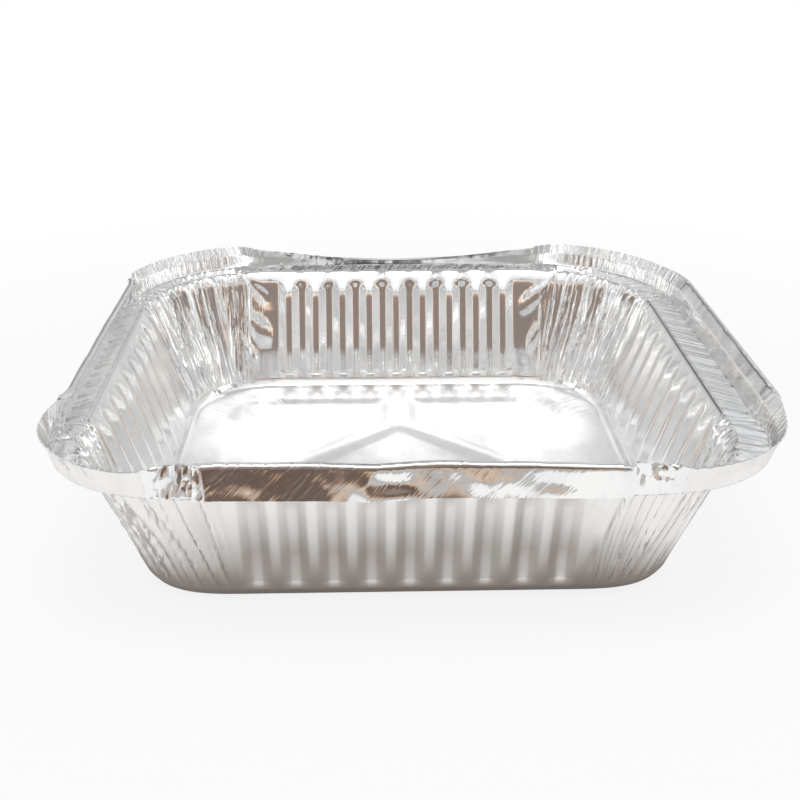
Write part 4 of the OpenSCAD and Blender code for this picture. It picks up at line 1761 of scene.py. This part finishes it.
        # Painted shadow: for mirror rays the table shows a brown shade that darkens towards the tray's foot,
        # standing for the shade that falls there.
        near = self.ramp(w, w.range_plain(gap, 0.0, self.NEAR_REACH), self.FOOT_SHADOW_IN_MIRRORS)
        # Painted glow: for mirror rays the table shines by its own emission instead of being lit by the lamp
        # and the sky.
        mirrored = w.times(path.outputs["Is Glossy Ray"], self.MIRRORED_TABLE_GLOW)
        w.link(w.mix(path.outputs["Is Glossy Ray"], self.PLAIN, near), white.inputs["Color"])
        own = w.math("MAXIMUM", seen, mirrored)
        w.blend(own, paint.outputs[0], white.outputs[0], out.inputs["Surface"])
        mesh.materials.append(material)
        return floor

    def world(self) -> None:
        """Lights the room: white for the camera, soft light from above, and what the foil mirrors."""
        world = bpy.data.worlds.new("studio")
        bpy.context.scene.world = world
        world.use_nodes = True
        tree = world.node_tree
        tree.nodes.clear()
        w = Wiring(tree)
        out = w.node("ShaderNodeOutputWorld")
        look = w.node("ShaderNodeTexCoord").outputs["Generated"]
        split = w.node("ShaderNodeSeparateXYZ")
        w.link(look, split.inputs[0])
        x, y, z = split.outputs
        path = w.node("ShaderNodeLightPath")
        sky = w.node("ShaderNodeBackground")
        horizon, overhead = self.SKY
        level = w.math("ADD", w.times(w.math("MAXIMUM", z, 0.0), overhead), horizon)
        w.link(level, sky.inputs["Color"])
        plain, mirrored = w.node("ShaderNodeBackground"), w.node("ShaderNodeBackground")
        plain.inputs["Color"].default_value = self.PLAIN
        w.link(self.room(w, x, y, z), mirrored.inputs["Color"])
        seen = w.node("ShaderNodeMixShader")
        w.link(path.outputs["Is Camera Ray"], seen.inputs[0])
        w.blend(path.outputs["Is Glossy Ray"], sky.outputs[0], mirrored.outputs[0], seen.inputs[1])
        w.link(plain.outputs[0], seen.inputs[2])
        w.link(seen.outputs[0], out.inputs["Surface"])

    def room(
        self, w: Wiring, x: bpy.types.NodeSocket, y: bpy.types.NodeSocket, z: bpy.types.NodeSocket
    ) -> bpy.types.NodeSocket:
        """Colour of the room in each direction.

        White above, and grey panels with dark gaps all round at the height of the tray's rim. The
        parts that the shelf, the brow and the side rims mirror are tinted, and the side panels
        have bright middles. Behind are a dark door and a warm patch, and in front is a dark brown
        oval with a copper edge.

        Args:
            w: Wiring of the world's tree.
            x: Direction to the right.
            y: Direction to the back.
            z: Direction upwards.

        Returns:
            The colour.
        """
        behind = w.range(y, *self.BEHIND)
        level = w.range_plain(z, -1.0, 1.0)
        sideways = w.math("ABSOLUTE", x)
        grey = w.mix(behind, self.ramp(w, level, self.FRONT_HEIGHTS), self.ramp(w, level, self.BACK_HEIGHTS))
        on_shelf = w.range(w.off(z, self.SHELF_Z), *self.SHELF_BAND)
        brow = w.times(w.times(w.range(sideways, *self.BROW_X), behind), w.within(z, *self.BROW_Z))
        for share, tint in (
            (w.times(w.within(x, *self.LEFT_X), on_shelf), self.LEFT_SHADE),
            (w.times(w.within(x, *self.RIGHT_X), on_shelf), self.RIGHT_SHEEN),
            (w.times(w.range(sideways, *self.SIDE_X), w.range(z, *self.SIDE_Z)), self.SIDE_SHEEN),
            (brow, self.BROW_SHADE),
        ):
            grey = w.multiply(grey, w.mix(share, self.PLAIN, tint))
        grey = w.multiply(grey, self.panels(w, x, y, z))
        middle_x, middle_z = self.DOOR_MIDDLE
        wide = w.range(w.off(x, middle_x), *self.DOOR_X)
        tall = w.range(w.off(z, middle_z), *self.DOOR_Z)
        door = w.math("MAXIMUM", w.math("MAXIMUM", wide, tall), w.range(y, *self.DOOR_Y))
        grey = w.mix(door, self.DOOR, grey)
        warm = w.times(w.within(z, *self.WARM_Z), w.range(w.off(x, self.WARM_MIDDLE_X), *self.WARM_X))
        grey = w.multiply(grey, w.mix(warm, self.PLAIN, self.COPPER))
        half_w, half_h = self.OVAL_HALVES
        across = w.math("DIVIDE", x, half_w)
        up = w.math("DIVIDE", w.math("SUBTRACT", z, self.OVAL_MIDDLE_Z), half_h)
        oval = w.length(across, up)
        front = self.ramp(w, w.math("DIVIDE", oval, 2.0), self.OVAL)
        front = w.multiply(front, w.mix(w.range(z, *self.LOW_Z), self.LOW_SHADE, self.PLAIN))
        hide = w.math("MAXIMUM", w.range(oval, *self.OVAL_END), w.range(y, *self.OVAL_Y))
        return w.mix(hide, front, grey)

    def panels(
        self, w: Wiring, x: bpy.types.NodeSocket, y: bpy.types.NodeSocket, z: bpy.types.NodeSocket
    ) -> bpy.types.NodeSocket:
        """Strength of the grey panels: low in the gaps between them, high in the side panels' middles.

        Args:
            w: Wiring of the world's tree.
            x: Direction to the right.
            y: Direction to the back.
            z: Direction upwards.

        Returns:
            The strength.
        """
        around = w.math("DIVIDE", w.math("ARCTAN2", x, y), self.GAP_STEP)
        near = w.math("ABSOLUTE", w.math("SUBTRACT", around, w.math("ROUND", around)))
        side = w.range(w.math("ABSOLUTE", x), *self.BRIGHT_X)
        bright = w.times(side, w.range(near, *self.BRIGHT_EDGE, 0.0, self.BRIGHT_GAIN))
        gap = w.range(near, *self.GAP_EDGE, self.GAP_GREY, 1.0)
        ledge = w.range(w.off(z, self.LEDGE_Z), *self.LEDGE_EDGE, self.LEDGE_GREY, 1.0)
        gaps = w.math("MAXIMUM", w.math("MINIMUM", gap, ledge), w.range(z, *self.GAPS_TOP))
        gaps = w.math("MAXIMUM", gaps, w.range(z, *self.GAPS_FOOT, 0.0, self.FOOT_FADE))
        return w.times(w.math("ADD", bright, 1.0), gaps)

    @staticmethod
    def ramp(
        w: Wiring, value: bpy.types.NodeSocket, stops: tuple[tuple[float, tuple[float, float, float]], ...]
    ) -> bpy.types.NodeSocket:
        """Colours between stops.

        Args:
            w: Wiring of the tree.
            value: Place on the ramp.
            stops: Places and colours.

        Returns:
            The colour.
        """
        node = w.node("ShaderNodeValToRGB")
        w.link(value, node.inputs["Fac"])
        elements = node.color_ramp.elements
        for index, (spot, colour) in enumerate(stops):
            element = elements[index] if index < 2 else elements.new(spot)
            element.position = spot
            element.color = (*colour, 1.0)
        return node.outputs["Color"]

    def lamp(self) -> bpy.types.Object:
        """Makes the soft lamp above the tray.

        Returns:
            The lamp.
        """
        data = bpy.data.lights.new("soft_box", "AREA")
        data.shape = "RECTANGLE"
        data.size, data.size_y = 0.5, 0.4
        data.energy = 3.0
        lamp = bpy.data.objects.new("soft_box", data)
        lamp.location = (0.0, -0.30, 1.1)
        lamp.rotation_euler = (math.radians(15), 0.0, 0.0)
        bpy.context.scene.collection.objects.link(lamp)
        return lamp


BRIGHT = FoilFinish("foil_bright", (0.945, 0.945, 0.94), (0.85, 0.855, 0.865), 0.07, 0.15, 0.00003)
SATIN = FoilFinish("foil_satin", (0.93, 0.92, 0.91), (0.90, 0.89, 0.88), 0.27, 0.33, 0.00002)


def main() -> None:
    """Builds the tray, then the studio, and reports each piece."""
    logging.basicConfig(level=logging.INFO, format="%(name)s: %(message)s")
    tray = FoilTray(TraySizes()).build([BRIGHT.build(), SATIN.build()])
    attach(tray, "root")
    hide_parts("foil_tray")
    studio = Studio()
    studio.floor()
    studio.lamp()
    studio.world()
    studio.camera()
    bpy.context.scene.view_settings.view_transform = "Standard"
    bpy.context.view_layer.update()


if __name__ == "__main__":
    main()
